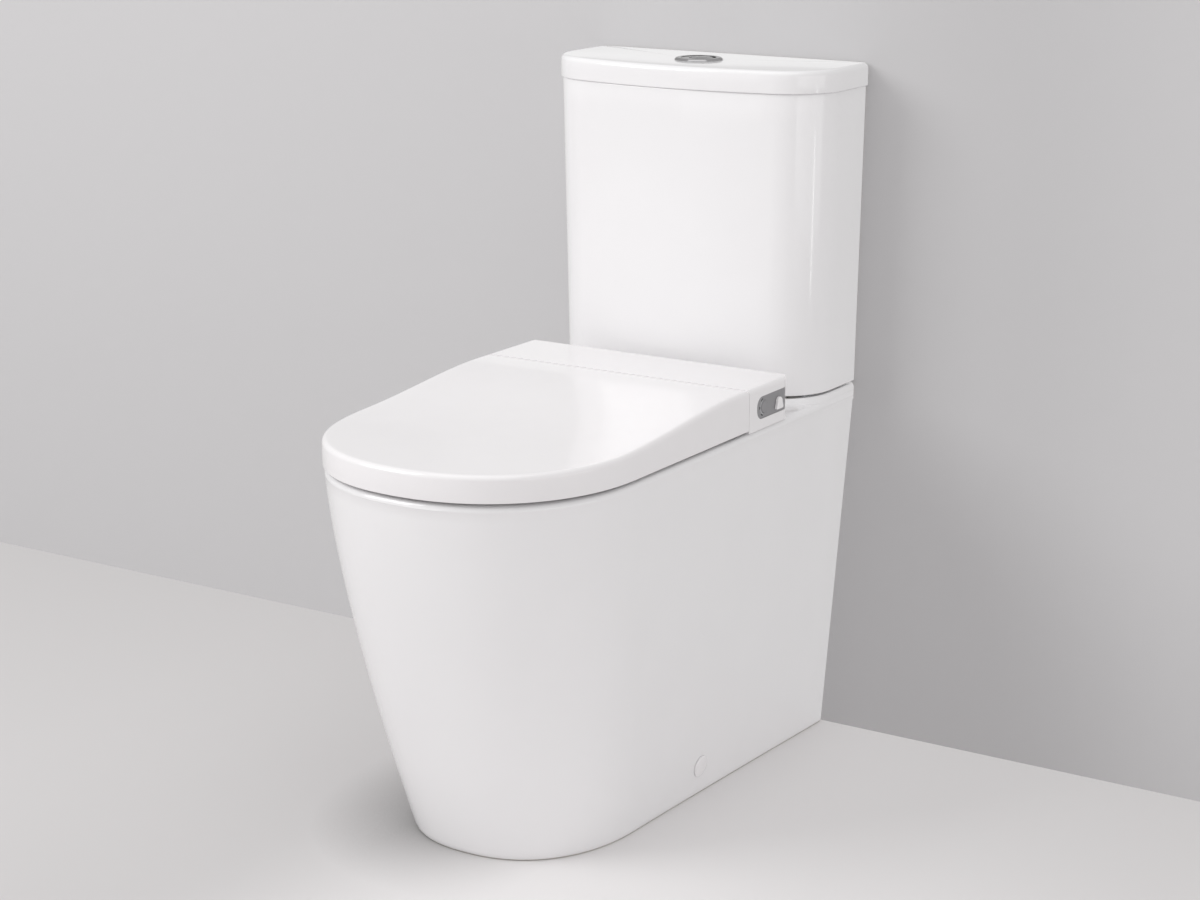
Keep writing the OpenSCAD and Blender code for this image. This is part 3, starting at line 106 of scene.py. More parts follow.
# %% [markdown]
# ## Colours and nodes
#
# Colours are written as on a paint card, in sRGB hex, and one function turns them into the
# linear numbers that the shader wants. Another adds any node with its settings and its links.
# The rest are what most finishes need: noise of a given size, two tones, a range, and relief.

# %% Helpers for nodes
mm = 0.001


def paint(hex_code):
    """A linear colour with alpha from an sRGB hex value."""
    parts = [int(hex_code[i:i + 2], 16) / 255 for i in (0, 2, 4)]
    linear = [c / 12.92 if c <= 0.04045 else ((c + 0.055) / 1.055) ** 2.4 for c in parts]
    return (*linear, 1.0)


def add(tree, kind, links=None, values=None, **settings):
    """Adds a node; links name an input and the output that feeds it."""
    node = tree.nodes.new(kind)
    for name, value in settings.items():
        setattr(node, name, value)
    for key, value in (values or {}).items():
        node.inputs[key].default_value = value
    for key, output in (links or {}).items():
        tree.links.new(output, node.inputs[key])
    return node


def sums(tree, operation, *terms):
    """A Math node on two terms, each an output or a plain number."""
    node = add(tree, "ShaderNodeMath", operation=operation)
    for socket, term in zip(node.inputs, terms):
        if isinstance(term, float):
            socket.default_value = term
        else:
            tree.links.new(term, socket)
    return node.outputs[0]


def remap(tree, value, source=(0.0, 1.0), target=(0.0, 1.0)):
    """Moves a value from one range to another."""
    ends = dict(zip(("From Min", "From Max", "To Min", "To Max"), (*source, *target)))
    return add(tree, "ShaderNodeMapRange", {"Value": value}, ends).outputs["Result"]


print("mid grey in linear light", [round(v, 3) for v in paint("808080")])

# %% Helpers for finishes


def new_finish(name, values):
    """A material with these values on its shader, and coordinates that stay on the object."""
    material = bpy.data.materials.new(name)
    material.use_nodes = True
    tree = material.node_tree
    for key, value in values.items():
        tree.nodes["Principled BSDF"].inputs[key].default_value = value
    return material, tree, add(tree, "ShaderNodeTexCoord").outputs["Object"]


def feed(tree, links):
    """Links outputs to inputs of the Principled shader."""
    for key, output in links.items():
        tree.links.new(output, tree.nodes["Principled BSDF"].inputs[key])


def noise(tree, place, size_mm, detail):
    """Noise with patches of about this size."""
    return add(tree, "ShaderNodeTexNoise", {"Vector": place},
               {"Scale": 1 / (size_mm * mm), "Detail": detail}).outputs["Fac"]


def two_tones(tree, share, light, dark):
    """A colour that wanders between two paints."""
    return add(tree, "ShaderNodeMix", {"Factor": share}, {6: paint(light), 7: paint(dark)},
               data_type="RGBA").outputs[2]


def relief(tree, height, strength, depth_mm, under=None):
    """A bumped normal, laid over another one if that is given."""
    links = {"Height": height} if under is None else {"Height": height, "Normal": under}
    return add(tree, "ShaderNodeBump", links,
               {"Strength": strength, "Distance": depth_mm * mm}).outputs["Normal"]

# %% [markdown]
# ## Glazed china
#
# Vitreous china is fired clay under a glassy white glaze. The glaze pools a little, so it has a
# long slow wave, a few centimetres across, and a faint orange peel of about two millimetres.
# Both are too shallow to see as shape, but they bend the edges of reflections, and that tells
# the eye that this is glaze and not plastic.

# %% Make the glaze and the bare clay
TONE_MM, WAVE_MM, PEEL_MM, CLAY_MM = 90, 55, 2.5, 1.2


def make_china():
    material, tree, place = new_finish(
        "glazed_vitreous_china", {"IOR": 1.52, "Coat Weight": 0.35, "Coat Roughness": 0.04})
    tone = noise(tree, place, TONE_MM, 2.0)
    wave = relief(tree, noise(tree, place, WAVE_MM, 1.0), 0.10, 0.6)
    feed(tree, {"Base Color": two_tones(tree, tone, "F6F5F6", "F3F2F3"),
                "Roughness": remap(tree, tone, target=(0.10, 0.15)),
                "Normal": relief(tree, noise(tree, place, PEEL_MM, 2.0), 0.10, 0.02, wave)})
    return material


def make_bare_clay():
    """Bisque: the parts of the casting that the glaze is wiped off, matt and a little warm."""
    material, tree, place = new_finish("unglazed_bisque", {"Roughness": 0.85})
    grain = noise(tree, place, CLAY_MM, 6.0)
    feed(tree, {"Base Color": two_tones(tree, grain, "DAD6CD", "E9E6DF"),
                "Normal": relief(tree, grain, 0.5, 0.15)})
    return material


china = make_china()
bare_clay = make_bare_clay()
print("china finishes", china.name, bare_clay.name)

# %% [markdown]
# ## Moulded plastics, metals and rubbers
#
# The seat is urea or ABS from a polished tool: almost as glossy as the china, but with a softer
# edge to its reflections. The hidden mouldings are satin. Each finish is one call with its
# colours, its gloss, and the size of the texture that its making leaves.

# %% Plastic, metal and rubber recipes
CLOUD_MM, LINES_MM = 40, 0.6


def make_moulding(name, light, dark, gloss, grain_mm, depth_mm, coat=0.0):
    """Two close tones, a roughness, and the fine texture of the tool."""
    material, tree, place = new_finish(
        name, {"IOR": 1.5, "Coat Weight": coat, "Coat Roughness": 0.06})
    grain = noise(tree, place, grain_mm, 3.0)
    feed(tree, {"Base Color": two_tones(tree, noise(tree, place, CLOUD_MM, 3.0), light, dark),
                "Roughness": remap(tree, grain, target=(gloss * 0.85, gloss * 1.15)),
                "Normal": relief(tree, grain, 0.3, depth_mm)})
    return material


def make_metal(name, light, dark, gloss, stretch):
    """A metal whose fine lines run along one axis; stretch (1, 1, 1) gives none."""
    # The darker edge tint keeps the metal from turning white where it is seen edge on.
    material, tree, place = new_finish(
        name, {"Metallic": 1.0, "Specular Tint": paint("DADADA")})
    squeeze = add(tree, "ShaderNodeMapping", {"Vector": place}, {"Scale": stretch})
    lines = noise(tree, squeeze.outputs["Vector"], LINES_MM, 3.0)
    feed(tree, {"Base Color": two_tones(tree, lines, light, dark),
                "Roughness": remap(tree, lines, target=(gloss * 0.8, gloss * 1.25)),
                "Normal": relief(tree, lines, 0.15, 0.01)})
    return material


seat_white = make_moulding("polished_white_urea", "F6F4F5", "F3F1F2", 0.16, 1.6, 0.010, coat=0.25)
satin_white = make_moulding("satin_white_acetal", "E8E8E2", "DFDFD8", 0.42, 0.7, 0.03)
valve_blue = make_moulding("satin_blue_polypropylene", "2F66A8", "28589A", 0.40, 0.7, 0.03)
panel_grey = make_moulding("satin_grey_abs", "959496", "8E8D90", 0.38, 0.5, 0.02)
mark_grey = make_moulding("pale_grey_print", "C9CACC", "C2C3C6", 0.45, 0.5, 0.01)
jet_black = make_moulding("satin_black_nylon", "1B1B1D", "222225", 0.45, 0.6, 0.03)
black_rubber = make_moulding("black_rubber", "161617", "1E1E20", 0.75, 0.5, 0.05)
pale_rubber = make_moulding("pale_grey_elastomer", "A9ABAD", "A0A2A4", 0.70, 0.5, 0.04)
chrome = make_metal("soft_chrome_plate", "BAB9BA", "B2B1B2", 0.16, (1, 1, 1))
zinc = make_metal("zinc_plated_steel", "B9BBBC", "A7AAAD", 0.32, (1, 1, 6))
stainless = make_metal("drawn_stainless_sheet", "BFC1C3", "B0B2B5", 0.28, (12, 1, 1))
print("finishes", len(bpy.data.materials))

# %% [markdown]
# The circuit board is the one finish with a drawn pattern: a green solder mask with paler
# copper tracks under it. A brick pattern of thin long bricks gives tracks that start and stop.

# %% The circuit board's finish


def make_board():
    material, tree, place = new_finish("green_solder_mask", {"Roughness": 0.35})
    tracks = add(tree, "ShaderNodeTexBrick", {"Vector": place}, {
        "Scale": 1.0, "Brick Width": 9 * mm, "Row Height": 1.6 * mm, "Mortar Size": 0.3 * mm,
        "Color1": paint("0E4A25"), "Color2": paint("11562B"), "Mortar": paint("2A7A45")})
    feed(tree, {"Base Color": tracks.outputs["Color"]})
    return material


board_green = make_board()
print("board finish", board_green.name)

# %% [markdown]
# ## Outlines that follow rules
#
# Seen from above, the pan, the lid and the seat are the same letter D: a straight back with
# small round corners, straight sides, and a nose on a superellipse, which is an ellipse with
# fuller shoulders. The cistern's outline is a box with two very large corners and a slightly
# bowed front. The functions give half of each outline and mirror it, in millimetres from the
# wall, so that both sides match exactly. An edge is rounded by a quarter circle of a few rings.

# %% Plan outlines
CORNER_STEPS, SIDE_STEPS, NOSE_STEPS = 8, 12, 40
BACK_STEPS, ROUND_STEPS, BOW_STEPS, BOW_R = 4, 24, 12, 594
row_shift = high.y / mm


def arc(centre, radius, start, end, steps):
    """Points on an arc, in degrees."""
    turn = np.radians(np.linspace(start, end, steps + 1))
    return [(centre[0] + radius * math.cos(t), centre[1] + radius * math.sin(t)) for t in turn]


def mirrored(half):
    half = np.array(half, float)
    half[-1, 0] = 0
    return np.vstack([half, half[-2::-1] * (-1, 1)])


def d_plan(back_half, front_half, back, shoulder, nose, corner, power):
    half = arc((back_half - corner, -back - corner), corner, 90, 0, CORNER_STEPS)
    for k in range(1, SIDE_STEPS):
        f = k / SIDE_STEPS
        x = front_half + (back_half - front_half) * (1 - f) ** 1.2
        half.append((x, -(back + corner) + f * (back + corner - shoulder)))
    for x, y in arc((0, 0), 1, 0, 90, NOSE_STEPS):
        half.append((front_half * max(x, 0) ** (2 / power), -shoulder - (nose - shoulder) * y ** (2 / power)))
    return mirrored(half)


def tank_plan(half_width, depth, back, corner, back_corner):
    cx = half_width - corner
    cy = BOW_R - depth - math.sqrt((BOW_R - corner) ** 2 - cx * cx)
    tip = math.asin(cx / (BOW_R - corner))
    reach = math.asin((cx + corner * math.sin(tip)) / BOW_R)
    half = arc((half_width - back_corner, -back - back_corner), back_corner, 90, 0, BACK_STEPS)
    half += arc((cx, cy), corner, 0, math.degrees(tip) - 90, ROUND_STEPS)
    half += arc((0, BOW_R - depth), BOW_R, math.degrees(reach) - 90, -90, BOW_STEPS)[1:]
    return mirrored(half)


def raised(plan, z):
    """The plan's points at height z, which is one number or one for each point."""
    return np.column_stack([plan, np.broadcast_to(z, len(plan))])


def quarter(step):
    """The angles of a quarter turn, in radians, from steps in degrees."""
    return [math.radians(v) for v in range(0, 91, step)]


def inward(radius, a):
    """How far the ring at angle a of a rounded edge has moved in from the side."""
    return radius * (1 - math.cos(a))


def below(radius, a):
    """How far it still lies below the top."""
    return radius * (1 - math.sin(a))


rim_arc, fine_arc = quarter(15), quarter(10)
print("rings on an edge", len(rim_arc), "or", len(fine_arc))

# %% [markdown]
# ## From rings to a skin
#
# A casting has no seams, so it is made as one closed skin: rings of points from the middle of the
# underside, round the outside, and in to the middle of the top. Four sided faces join each ring
# to the next, and the first and last rings close on one point. Smooth shading does the rest,
# with hard edges only where two faces meet sharply.

# %% Skin and finishing helpers


def smooth_sharp(mesh, angle=38):
    for face in mesh.polygons:
        face.use_smooth = True
    mesh.set_sharp_from_angle(angle=math.radians(angle))


def new_piece(name, points, faces, finish):
    """A mesh object at the origin, from wall-frame millimetres."""
    points = np.array(points, float)
    points[:, 1] += row_shift
    mesh = bpy.data.meshes.new(name)
    mesh.from_pydata((points * mm).tolist(), [], faces)
    mesh.materials.append(finish)
    work = bmesh.new()
    work.from_mesh(mesh)
    if work.calc_volume(signed=True) < 0:
        bmesh.ops.reverse_faces(work, faces=work.faces)
    work.to_mesh(mesh)
    work.free()
    smooth_sharp(mesh)
    return put(name, mesh)


def bands(n, pairs):
    """Four sided faces between rings of n points; a pair holds the first point of both rings."""
    return [(a + i, b + i, b + (i + 1) % n, a + (i + 1) % n) for a, b in pairs for i in range(n)]


def skin(name, first, rings, last, finish):
    n = len(rings[0])
    points = np.vstack([[first], *rings, [last]])
    tip = len(points) - 1
    faces = [(1 + i, 1 + (i + 1) % n, 0) for i in range(n)]
    faces += bands(n, [(1 + j * n, 1 + (j + 1) * n) for j in range(len(rings) - 1)])
    faces += [(tip - n + (i + 1) % n, tip - n + i, tip) for i in range(n)]
    return new_piece(name, points, faces, finish)


def loop_skin(name, rings, finish):
    n, count = len(rings[0]), len(rings)
    faces = bands(n, [(j * n, (j + 1) % count * n) for j in range(count)])
    return new_piece(name, np.vstack(rings), faces, finish)


# %% [markdown]
# Holes, pipes and posts are joined to a casting or cut from it by Boolean modifiers. The
# manifold solver is quick and exact on closed skins. Each tool is a plain round bar, a ball or
# a block, made where it is needed and thrown away after use.

# %% Boolean tools


def bar(start, end, radius, sides=48):
    """A round bar between two points."""
    start, end = Vector(start), Vector(end)
    along = (end - start).normalized()
    across = along.orthogonal().normalized()
    over = along.cross(across)
    ring = [across * math.cos(t) + over * math.sin(t) for t in np.linspace(0, 2 * math.pi, sides, False)]
    points = [start + r * radius for r in ring] + [end + r * radius for r in ring]
    faces = [(i, (i + 1) % sides, sides + (i + 1) % sides, sides + i) for i in range(sides)]
    faces += [tuple(range(sides))[::-1], tuple(range(sides, 2 * sides))]
    return new_piece("tool", points, faces, bare_clay)


def post(place, foot, top, radius, sides=48):
    """An upright round bar at a place (x, y)."""
    return bar((*place, foot), (*place, top), radius, sides)


def ball(centre, radius):
    work = bmesh.new()
    bmesh.ops.create_uvsphere(work, u_segments=48, v_segments=24, radius=radius)
    points = [v.co + Vector(centre) for v in work.verts]
    faces = [[v.index for v in f.verts] for f in work.faces]
    work.free()
    return new_piece("tool", points, faces, bare_clay)


def block(x0, y0, z0, x1, y1, z1):
    points = [(x, y, z) for x in sorted((x0, x1)) for y in (y0, y1) for z in (z0, z1)]
    faces = [(0, 1, 3, 2), (4, 6, 7, 5), (0, 4, 5, 1), (2, 3, 7, 6), (0, 2, 6, 4), (1, 5, 7, 3)]
    return new_piece("tool", points, faces, bare_clay)


def both(make):
    """The same tool on both sides, from a rule that gets the side as 1 or -1."""
    return [make(1), make(-1)]


def keep_result(piece):
    """Makes what the modifiers show the piece's own mesh."""
    depsgraph = bpy.context.evaluated_depsgraph_get()
    result = bpy.data.meshes.new_from_object(piece.evaluated_get(depsgraph))
    piece.modifiers.clear()
    old, piece.data = piece.data, result
    bpy.data.meshes.remove(old)
    smooth_sharp(result)
    return piece


def carve(piece, tools, operation="DIFFERENCE"):
    """Joins tools to a piece or cuts them from it, and keeps the plain result."""
    for tool in tools:
        tool.data.materials[0] = piece.data.materials[0]
        step = piece.modifiers.new("carve", "BOOLEAN")
        step.object, step.operation, step.solver = tool, operation, "MANIFOLD"
    keep_result(piece)
    for tool in tools:
        bpy.data.meshes.remove(tool.data)


print("tools ready")

# %% [markdown]
# ## The pan
#
# The pan's side leans out all the way up, and its nose swings forward fastest near the floor. So
# the nose and the shoulder move by a rule that starts fast and eases out, while the wall end
# widens evenly. Forty rings of this rule leave no flat spots. The bowl, the trap and the ducts
# are there too, since the open lid shows the bowl, and a low view the hollow behind the skirt.

# %% The pan's outer rule
RIM_H, RIM_W, RIM_REACH, RIM_NOSE = 448, 369, 712, 191
FOOT_REACH, FOOT_NOSE, FOOT_WALL_W, FOOT_FRONT_W = 595, 165, 298, 268
CHINA_T, DECK_T, RIM_ROUND = 12, 14, 7
deck_under = RIM_H - DECK_T


def lerp(a, b, f):
    return a + (b - a) * f


def ease_out(f, power):
    return 1 - (1 - min(f, 1)) ** power


def pan_plan(z, inset=0, back=0, corner=6):
    f = min(max(z, 0) / RIM_H, 1)
    wall_half = lerp(FOOT_WALL_W, RIM_W, f) / 2
    front_half = lerp(FOOT_FRONT_W, RIM_W, ease_out(f, 1.4)) / 2
    shoulder = lerp(FOOT_REACH - FOOT_NOSE, RIM_REACH - RIM_NOSE, ease_out(f, 1.42))
    nose = lerp(FOOT_REACH, RIM_REACH, ease_out(f, 1.29))
    return d_plan(wall_half - inset, front_half - inset, back, shoulder, nose - inset,
                  corner, 2.3 - 0.15 * f)


BOWL_W, BOWL_BACK, FRONT_RIM_W, BOWL_T, BOWL_RINGS = 258, 342, 52, 10, 26
SUMP_Z, SUMP_W, SUMP_BACK, SUMP_FRONT, SUMP_ROUND, LIP_ROUND = 146, 84, 402, 508, 14, 4.5
bowl_mid = (0, -(SUMP_BACK + SUMP_FRONT) / 2)


def bowl_plan(f, grow=0):
    """The bowl's outline at share f of its depth: 0 is the rim, and 1 the sump's floor."""
    s = f ** 1.75
    half = lerp(BOWL_W, SUMP_W, s) / 2 + grow
    back = lerp(BOWL_BACK, SUMP_BACK, s) - grow
    nose = lerp(RIM_REACH - FRONT_RIM_W, SUMP_FRONT, s) + grow
    corner = min(half, (nose - back) / 2) * 0.86
    return d_plan(half, half, back, max(back + corner + 1, nose - 1.25 * half), nose, corner, 2.1)


def bowl_z(f):
    return lerp(RIM_H, SUMP_Z, f)


print("rim outline", np.abs(pan_plan(RIM_H)).max(0).round(1))

# %% The pan's shell and bowl
bowl_steps = [1 - (1 - k / BOWL_RINGS) ** 1.35 for k in range(1, BOWL_RINGS + 1)]
outer_heights = [3, 8, *np.linspace(20, RIM_H - RIM_ROUND - 1, 36)]
pan_rings = [raised(bowl_plan(f, BOWL_T), bowl_z(f) - BOWL_T) for f in bowl_steps[::-1]]
pan_rings += [raised(bowl_plan(0, BOWL_T + 2), deck_under)]
pan_rings += [raised(pan_plan(z, CHINA_T, CHINA_T + 2), z) for z in np.linspace(deck_under, 0, 12)]
pan_rings += [raised(pan_plan(0, 1.5, corner=5), 0), raised(pan_plan(0, 0.5, corner=5.5), 1)]
pan_rings += [raised(pan_plan(z), z) for z in outer_heights]
pan_rings += [raised(pan_plan(RIM_H, inward(RIM_ROUND, a)), RIM_H - below(RIM_ROUND, a)) for a in rim_arc]
pan = skin("pan_china", (*bowl_mid, SUMP_Z - BOWL_T), pan_rings, (*bowl_mid, RIM_H), china)

cavity_rings = []
for a in rim_arc:
    rise = inward(SUMP_ROUND, a)
    plan = bowl_plan(1 - rise / (RIM_H - SUMP_Z), -below(SUMP_ROUND, a))
    cavity_rings.append(raised(plan, SUMP_Z + rise))
cavity_rings += [raised(bowl_plan(f), bowl_z(f)) for f in [*bowl_steps[::-1], 0.012]
                 if bowl_z(f) > SUMP_Z + SUMP_ROUND + 2]
cavity_rings += [raised(bowl_plan(0, inward(LIP_ROUND, a) + 0.4), RIM_H - below(LIP_ROUND, a))
                 for a in rim_arc[1:-1]]
cavity_rings += [raised(bowl_plan(0, 5), RIM_H), raised(bowl_plan(0, 9), RIM_H + 3)]
bowl_cavity = skin("tool", (*bowl_mid, SUMP_Z), cavity_rings, (*bowl_mid, RIM_H + 3), china)
print("pan faces", len(pan.data.polygons))

# %% [markdown]
# The pad under the cistern rises out of the deck in a hollow curve, like a fillet pressed by a
# thumb. Its rings are the cistern's own outline, pushed out less and less as they rise.

# %% The pad
PLATEAU_H, TANK_W, TANK_D, TANK_DRAW, TANK_CORNER = 8, 380, 156, 6, 72
PAD_OUT, PAD_EDGE, PAD_RINGS = 15.5, 2.5, 12
PLATEAU_Z = RIM_H + PLATEAU_H
VALVE_Y, VALVE_R = 80, 30
foot_depth, pad_half = TANK_D - TANK_DRAW, min(RIM_W / 2 - 0.2, TANK_W / 2 - TANK_DRAW + 3)


def pad_plan(out, draw):
    return tank_plan(pad_half - draw, foot_depth + out, 0, TANK_CORNER + out, 5)


pad_rings = [raised(pad_plan(PAD_EDGE + PAD_OUT, 0.1), z) for z in (deck_under + 2, RIM_H - 0.1)]
for f in [k / PAD_RINGS for k in range(1, PAD_RINGS + 1)]:
    pad_rings.append(raised(pad_plan(PAD_EDGE + PAD_OUT * (1 - f) ** 1.9, 2.6 * f ** 4),
                            RIM_H + PLATEAU_H * f ** 1.15))
pad = skin("tool", (0, -VALVE_Y, deck_under + 2), pad_rings, (0, -VALVE_Y, PLATEAU_Z), china)
print("pad faces", len(pad.data.polygons))

# %% The trap, the ducts and the bores
TRAP_R, TRAP_WALL, WEIR_Z, OUTLET_Z, OUTLET_R, OUTLET_GAP = 27, 10, 272, 186, 51, 75
trap_path = [(0, -(SUMP_BACK + 20), SUMP_Z + TRAP_R + 4), (0, -(SUMP_BACK - 52), SUMP_Z + TRAP_R + 18),
             (0, -(SUMP_BACK - 69), WEIR_Z - 4), (0, -(SUMP_BACK - 114), WEIR_Z - 4),
             (0, -(SUMP_BACK - 162), OUTLET_Z), (0, -(OUTLET_GAP + 30), OUTLET_Z)]


def pipe_run(path, radius):
    tools = [bar(a, b, radius) for a, b in zip(path, path[1:])]
    return tools + [ball(p, radius * 1.015) for p in path[1:-1]]


VALVE, INLET, SEAT_TAIL, CABLE_EXIT = (0, -VALVE_Y), (-112, -60), (-108, -196), (-140, -196)
BOLT_X, PLATE_BOLT_X, PLATE_BOLT_Y, FIXING_Z = 72, 77.5, -230, 38
ARCH_HALF, ARCH_R, ARCH_Z = 100, 60, 270
duct_z, duct_r, hole_r = deck_under - 20, 17, VALVE_R + 2
duct_path = [(*VALVE, duct_z), (0, -BOWL_BACK - 14, duct_z)]
solids = [pad, *pipe_run(trap_path, TRAP_R + TRAP_WALL),
          bar((0, -OUTLET_GAP, OUTLET_Z), (0, -OUTLET_GAP - 70, OUTLET_Z), OUTLET_R, 96),
          bar((0, -VALVE_Y + hole_r, duct_z), (0, -BOWL_BACK + 4, duct_z), duct_r + 7),
          post(VALVE, duct_z - duct_r - 8, deck_under + 6, hole_r + 9)]
carve(pan, solids, "UNION")
recess_z, gasket_r = PLATEAU_Z - 9, hole_r + 20
fixing_y = -(row_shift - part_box("floor_brackets")[0].y / mm - 20)
under, over, wall_in, arch_x = deck_under - 5, PLATEAU_Z + 20, -CHINA_T - 5, ARCH_HALF - ARCH_R


def side_bore(s, start, radius):
    return bar((s * start, fixing_y, FIXING_Z), (s * 170, fixing_y, FIXING_Z), radius)


holes = [bowl_cavity, *pipe_run(trap_path, TRAP_R),
         bar((0, -OUTLET_GAP + 1, OUTLET_Z), (0, -OUTLET_GAP - 51, OUTLET_Z), OUTLET_R - 9),
         bar(*duct_path, duct_r),
         post(VALVE, duct_z - duct_r, over, hole_r),
         post(VALVE, recess_z, over, gasket_r + 0.3, 96),
         post(INLET, under, over, 24),
         post(SEAT_TAIL, under, RIM_H + 5, 14),
         post(CABLE_EXIT, under, RIM_H + 5, 8),
         *both(lambda s: post((s * BOLT_X, -VALVE_Y), under, over, 5.5)),
         *both(lambda s: post((s * PLATE_BOLT_X, PLATE_BOLT_Y), under, over, 7.5)),
         *both(lambda s: side_bore(s, 112, 4.5)),
         *both(lambda s: side_bore(s, 138, 9)),
         block(-ARCH_HALF, wall_in, -1, ARCH_HALF, 1, ARCH_Z),
         block(-arch_x, wall_in, 200, arch_x, 1, ARCH_Z + ARCH_R),
         *both(lambda s: bar((s * arch_x, 1, ARCH_Z), (s * arch_x, wall_in, ARCH_Z), ARCH_R, 96))]
carve(pan, holes)
print("pan after the bores", len(pan.data.polygons))

# %% [markdown]
# The foot's lower edge and everything under the skirt are wiped free of glaze before firing, or
# the casting would stick to the kiln shelf. Those faces are found by where they are: they look
# down, or lie inside the outer outline and outside the bowl.

# %% Bare clay under the skirt


def share_finish(piece, finish, chosen):
    """Gives a second finish to the faces that chosen(centre, normal) picks, in millimetres."""
    piece.data.materials.append(finish)
    for face in piece.data.polygons:
        centre = face.center / mm
        if chosen(Vector((centre.x, centre.y - row_shift, centre.z)), face.normal):
            face.material_index = len(piece.data.materials) - 1


def inside(plan, p, margin):
    """True where a point is within a mirrored plan, by at least the margin."""
    right = plan[:len(plan) // 2 + 1]
    half = np.interp(-p.y, -right[:, 1], right[:, 0])
    return abs(p.x) < half - margin and right[-1, 1] + margin < p.y < right[0, 1] - margin


def in_a_bore(p, path, radius):
    """True on the wall of a bore along a path: the glaze is poured through those."""
    for a, b in zip(path, path[1:]):
        a, b = Vector(a), Vector(b)
        share = min(max((p - a).dot(b - a) / (b - a).length_squared, 0), 1)
        if (a.lerp(b, share) - p).length < radius + 2:
            return True
    return False


def under_the_skirt(p, n):
    if p.z < 0.6 or n.y > 0.98 and p.y > -1:
        return True
    if in_a_bore(p, trap_path, TRAP_R) or in_a_bore(p, duct_path, duct_r):
        return False
    f = (RIM_H - p.z) / (RIM_H - SUMP_Z)
    if 0 <= f <= 1.01 and inside(bowl_plan(min(f, 1)), p, -2.5):
        return False
    return p.z < deck_under + 1 and inside(pan_plan(p.z), p, CHINA_T / 2)


share_finish(pan, bare_clay, under_the_skirt)
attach(pan, "base")
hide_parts("pan", "bowl_and_trap")
print("pan finishes", pan.data.materials.keys())

# %% [markdown]
# ## The cistern and its lid
#
# The tank draws in by six millimetres from top to bottom, so that it can leave its plaster
# mould. Its lid stands a little proud all round and throws the thin shadow that the eye reads
# as a separate piece. Both are skins over the same outline rule.

# %% The tank
TANK_Z, TANK_TOP, TANK_T = 459, 826, 9.5
tank_floor = TANK_Z + TANK_T


def tank_ring(f, inset, back):
    """The tank's outline at share f of its height."""
    return tank_plan(TANK_W / 2 - TANK_DRAW * (1 - f) - inset, TANK_D - TANK_DRAW * (1 - f) - inset,
                     back, TANK_CORNER - inset, max(1, min(5, 12 - back)))


tank_rings = [raised(tank_ring(0, 16, 12), TANK_Z)]
tank_rings += [raised(tank_ring(0, below(2, a), below(1, a)), TANK_Z + inward(2, a)) for a in rim_arc]
tank_rings += [raised(tank_ring(f, 0, 0), lerp(TANK_Z + 2, TANK_TOP - 2, f))
               for f in np.linspace(0.05, 1, 12)]
tank_rings += [raised(tank_ring(1, inward(1.5, a), inward(1, a)), TANK_TOP - below(2, a))
               for a in rim_arc[2::2]]
tank_rings += [raised(tank_ring(1, TANK_T, TANK_T), TANK_TOP),
               raised(tank_ring(0, TANK_T, TANK_T), tank_floor + 4),
               raised(tank_ring(0, TANK_T + 4, TANK_T + 1), tank_floor)]
tank = skin("cistern_tank_china", (*VALVE, TANK_Z), tank_rings, (*VALVE, tank_floor), china)
carve(tank, [post(VALVE, TANK_Z - 2, tank_floor + 2, VALVE_R + 1),
             *both(lambda s: post((s * BOLT_X, -VALVE_Y), TANK_Z - 2, tank_floor + 2, 5)),
             post(INLET, TANK_Z - 2, tank_floor + 2, 11.8)])
share_finish(tank, bare_clay, lambda p, n: n.z < -0.9 and inside(tank_ring(0, 0, 0), p, 11)
             or n.y > 0.98 and p.y > -2)
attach(tank, "base")
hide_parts("cistern_tank")
print("tank faces", len(tank.data.polygons))

# %% The cistern lid
LID_OVER, LID_ROUND, LID_T, LID_H, LID_GAP = 2.5, 6, 9, 27, 0.3
LIP_T, LIP_DROP, BUTTON_R = 5, 8, 24.3
lid_low = TANK_TOP + LID_GAP
lid_high = lid_low + LID_H
lid_under = lid_high - LID_T


def cover_ring(inset):
    out = LID_OVER - inset
    return tank_plan(TANK_W / 2 + out, TANK_D + out, 0, TANK_CORNER + out, 5)


lip = TANK_T + 1.5
cover_rings = [raised(tank_ring(1, lip + LIP_T, lip + LIP_T), z) for z in (lid_under, lid_low - LIP_DROP)]
cover_rings += [raised(tank_ring(1, lip, lip), z) for z in (lid_low - LIP_DROP, lid_low)]
cover_rings += [raised(cover_ring(below(1, a)), lid_low + inward(1, a)) for a in rim_arc[::2]]
cover_rings += [raised(cover_ring(inward(LID_ROUND, a)), lid_high - below(LID_ROUND, a)) for a in fine_arc]
cover = skin("cistern_lid_china", (*VALVE, lid_under), cover_rings, (*VALVE, lid_high), china)
carve(cover, [post(VALVE, lid_under - 2, lid_high + 2, BUTTON_R, 96)])
share_finish(cover, bare_clay, lambda p, n: n.z < -0.5 and p.z > lid_low + 5 or n.y > 0.98 and p.y > -2)
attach(cover, "cistern_cover")
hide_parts("cistern_lid")
print("cistern lid faces", len(cover.data.polygons))

# %% [markdown]
# ## The seat lid
#
# The lid is a thin shell over the same D. Its top is level over the hinge, slopes down in one
# long S curve, and is level again over the nose. Points near the rim are pushed down round the
# edge, so the rounding follows the slope. The back edge is rounded too, and so it clears the
# housing when the lid swings up. The underside is a second sheet, a wall's thickness in, because
# the open lid shows it.

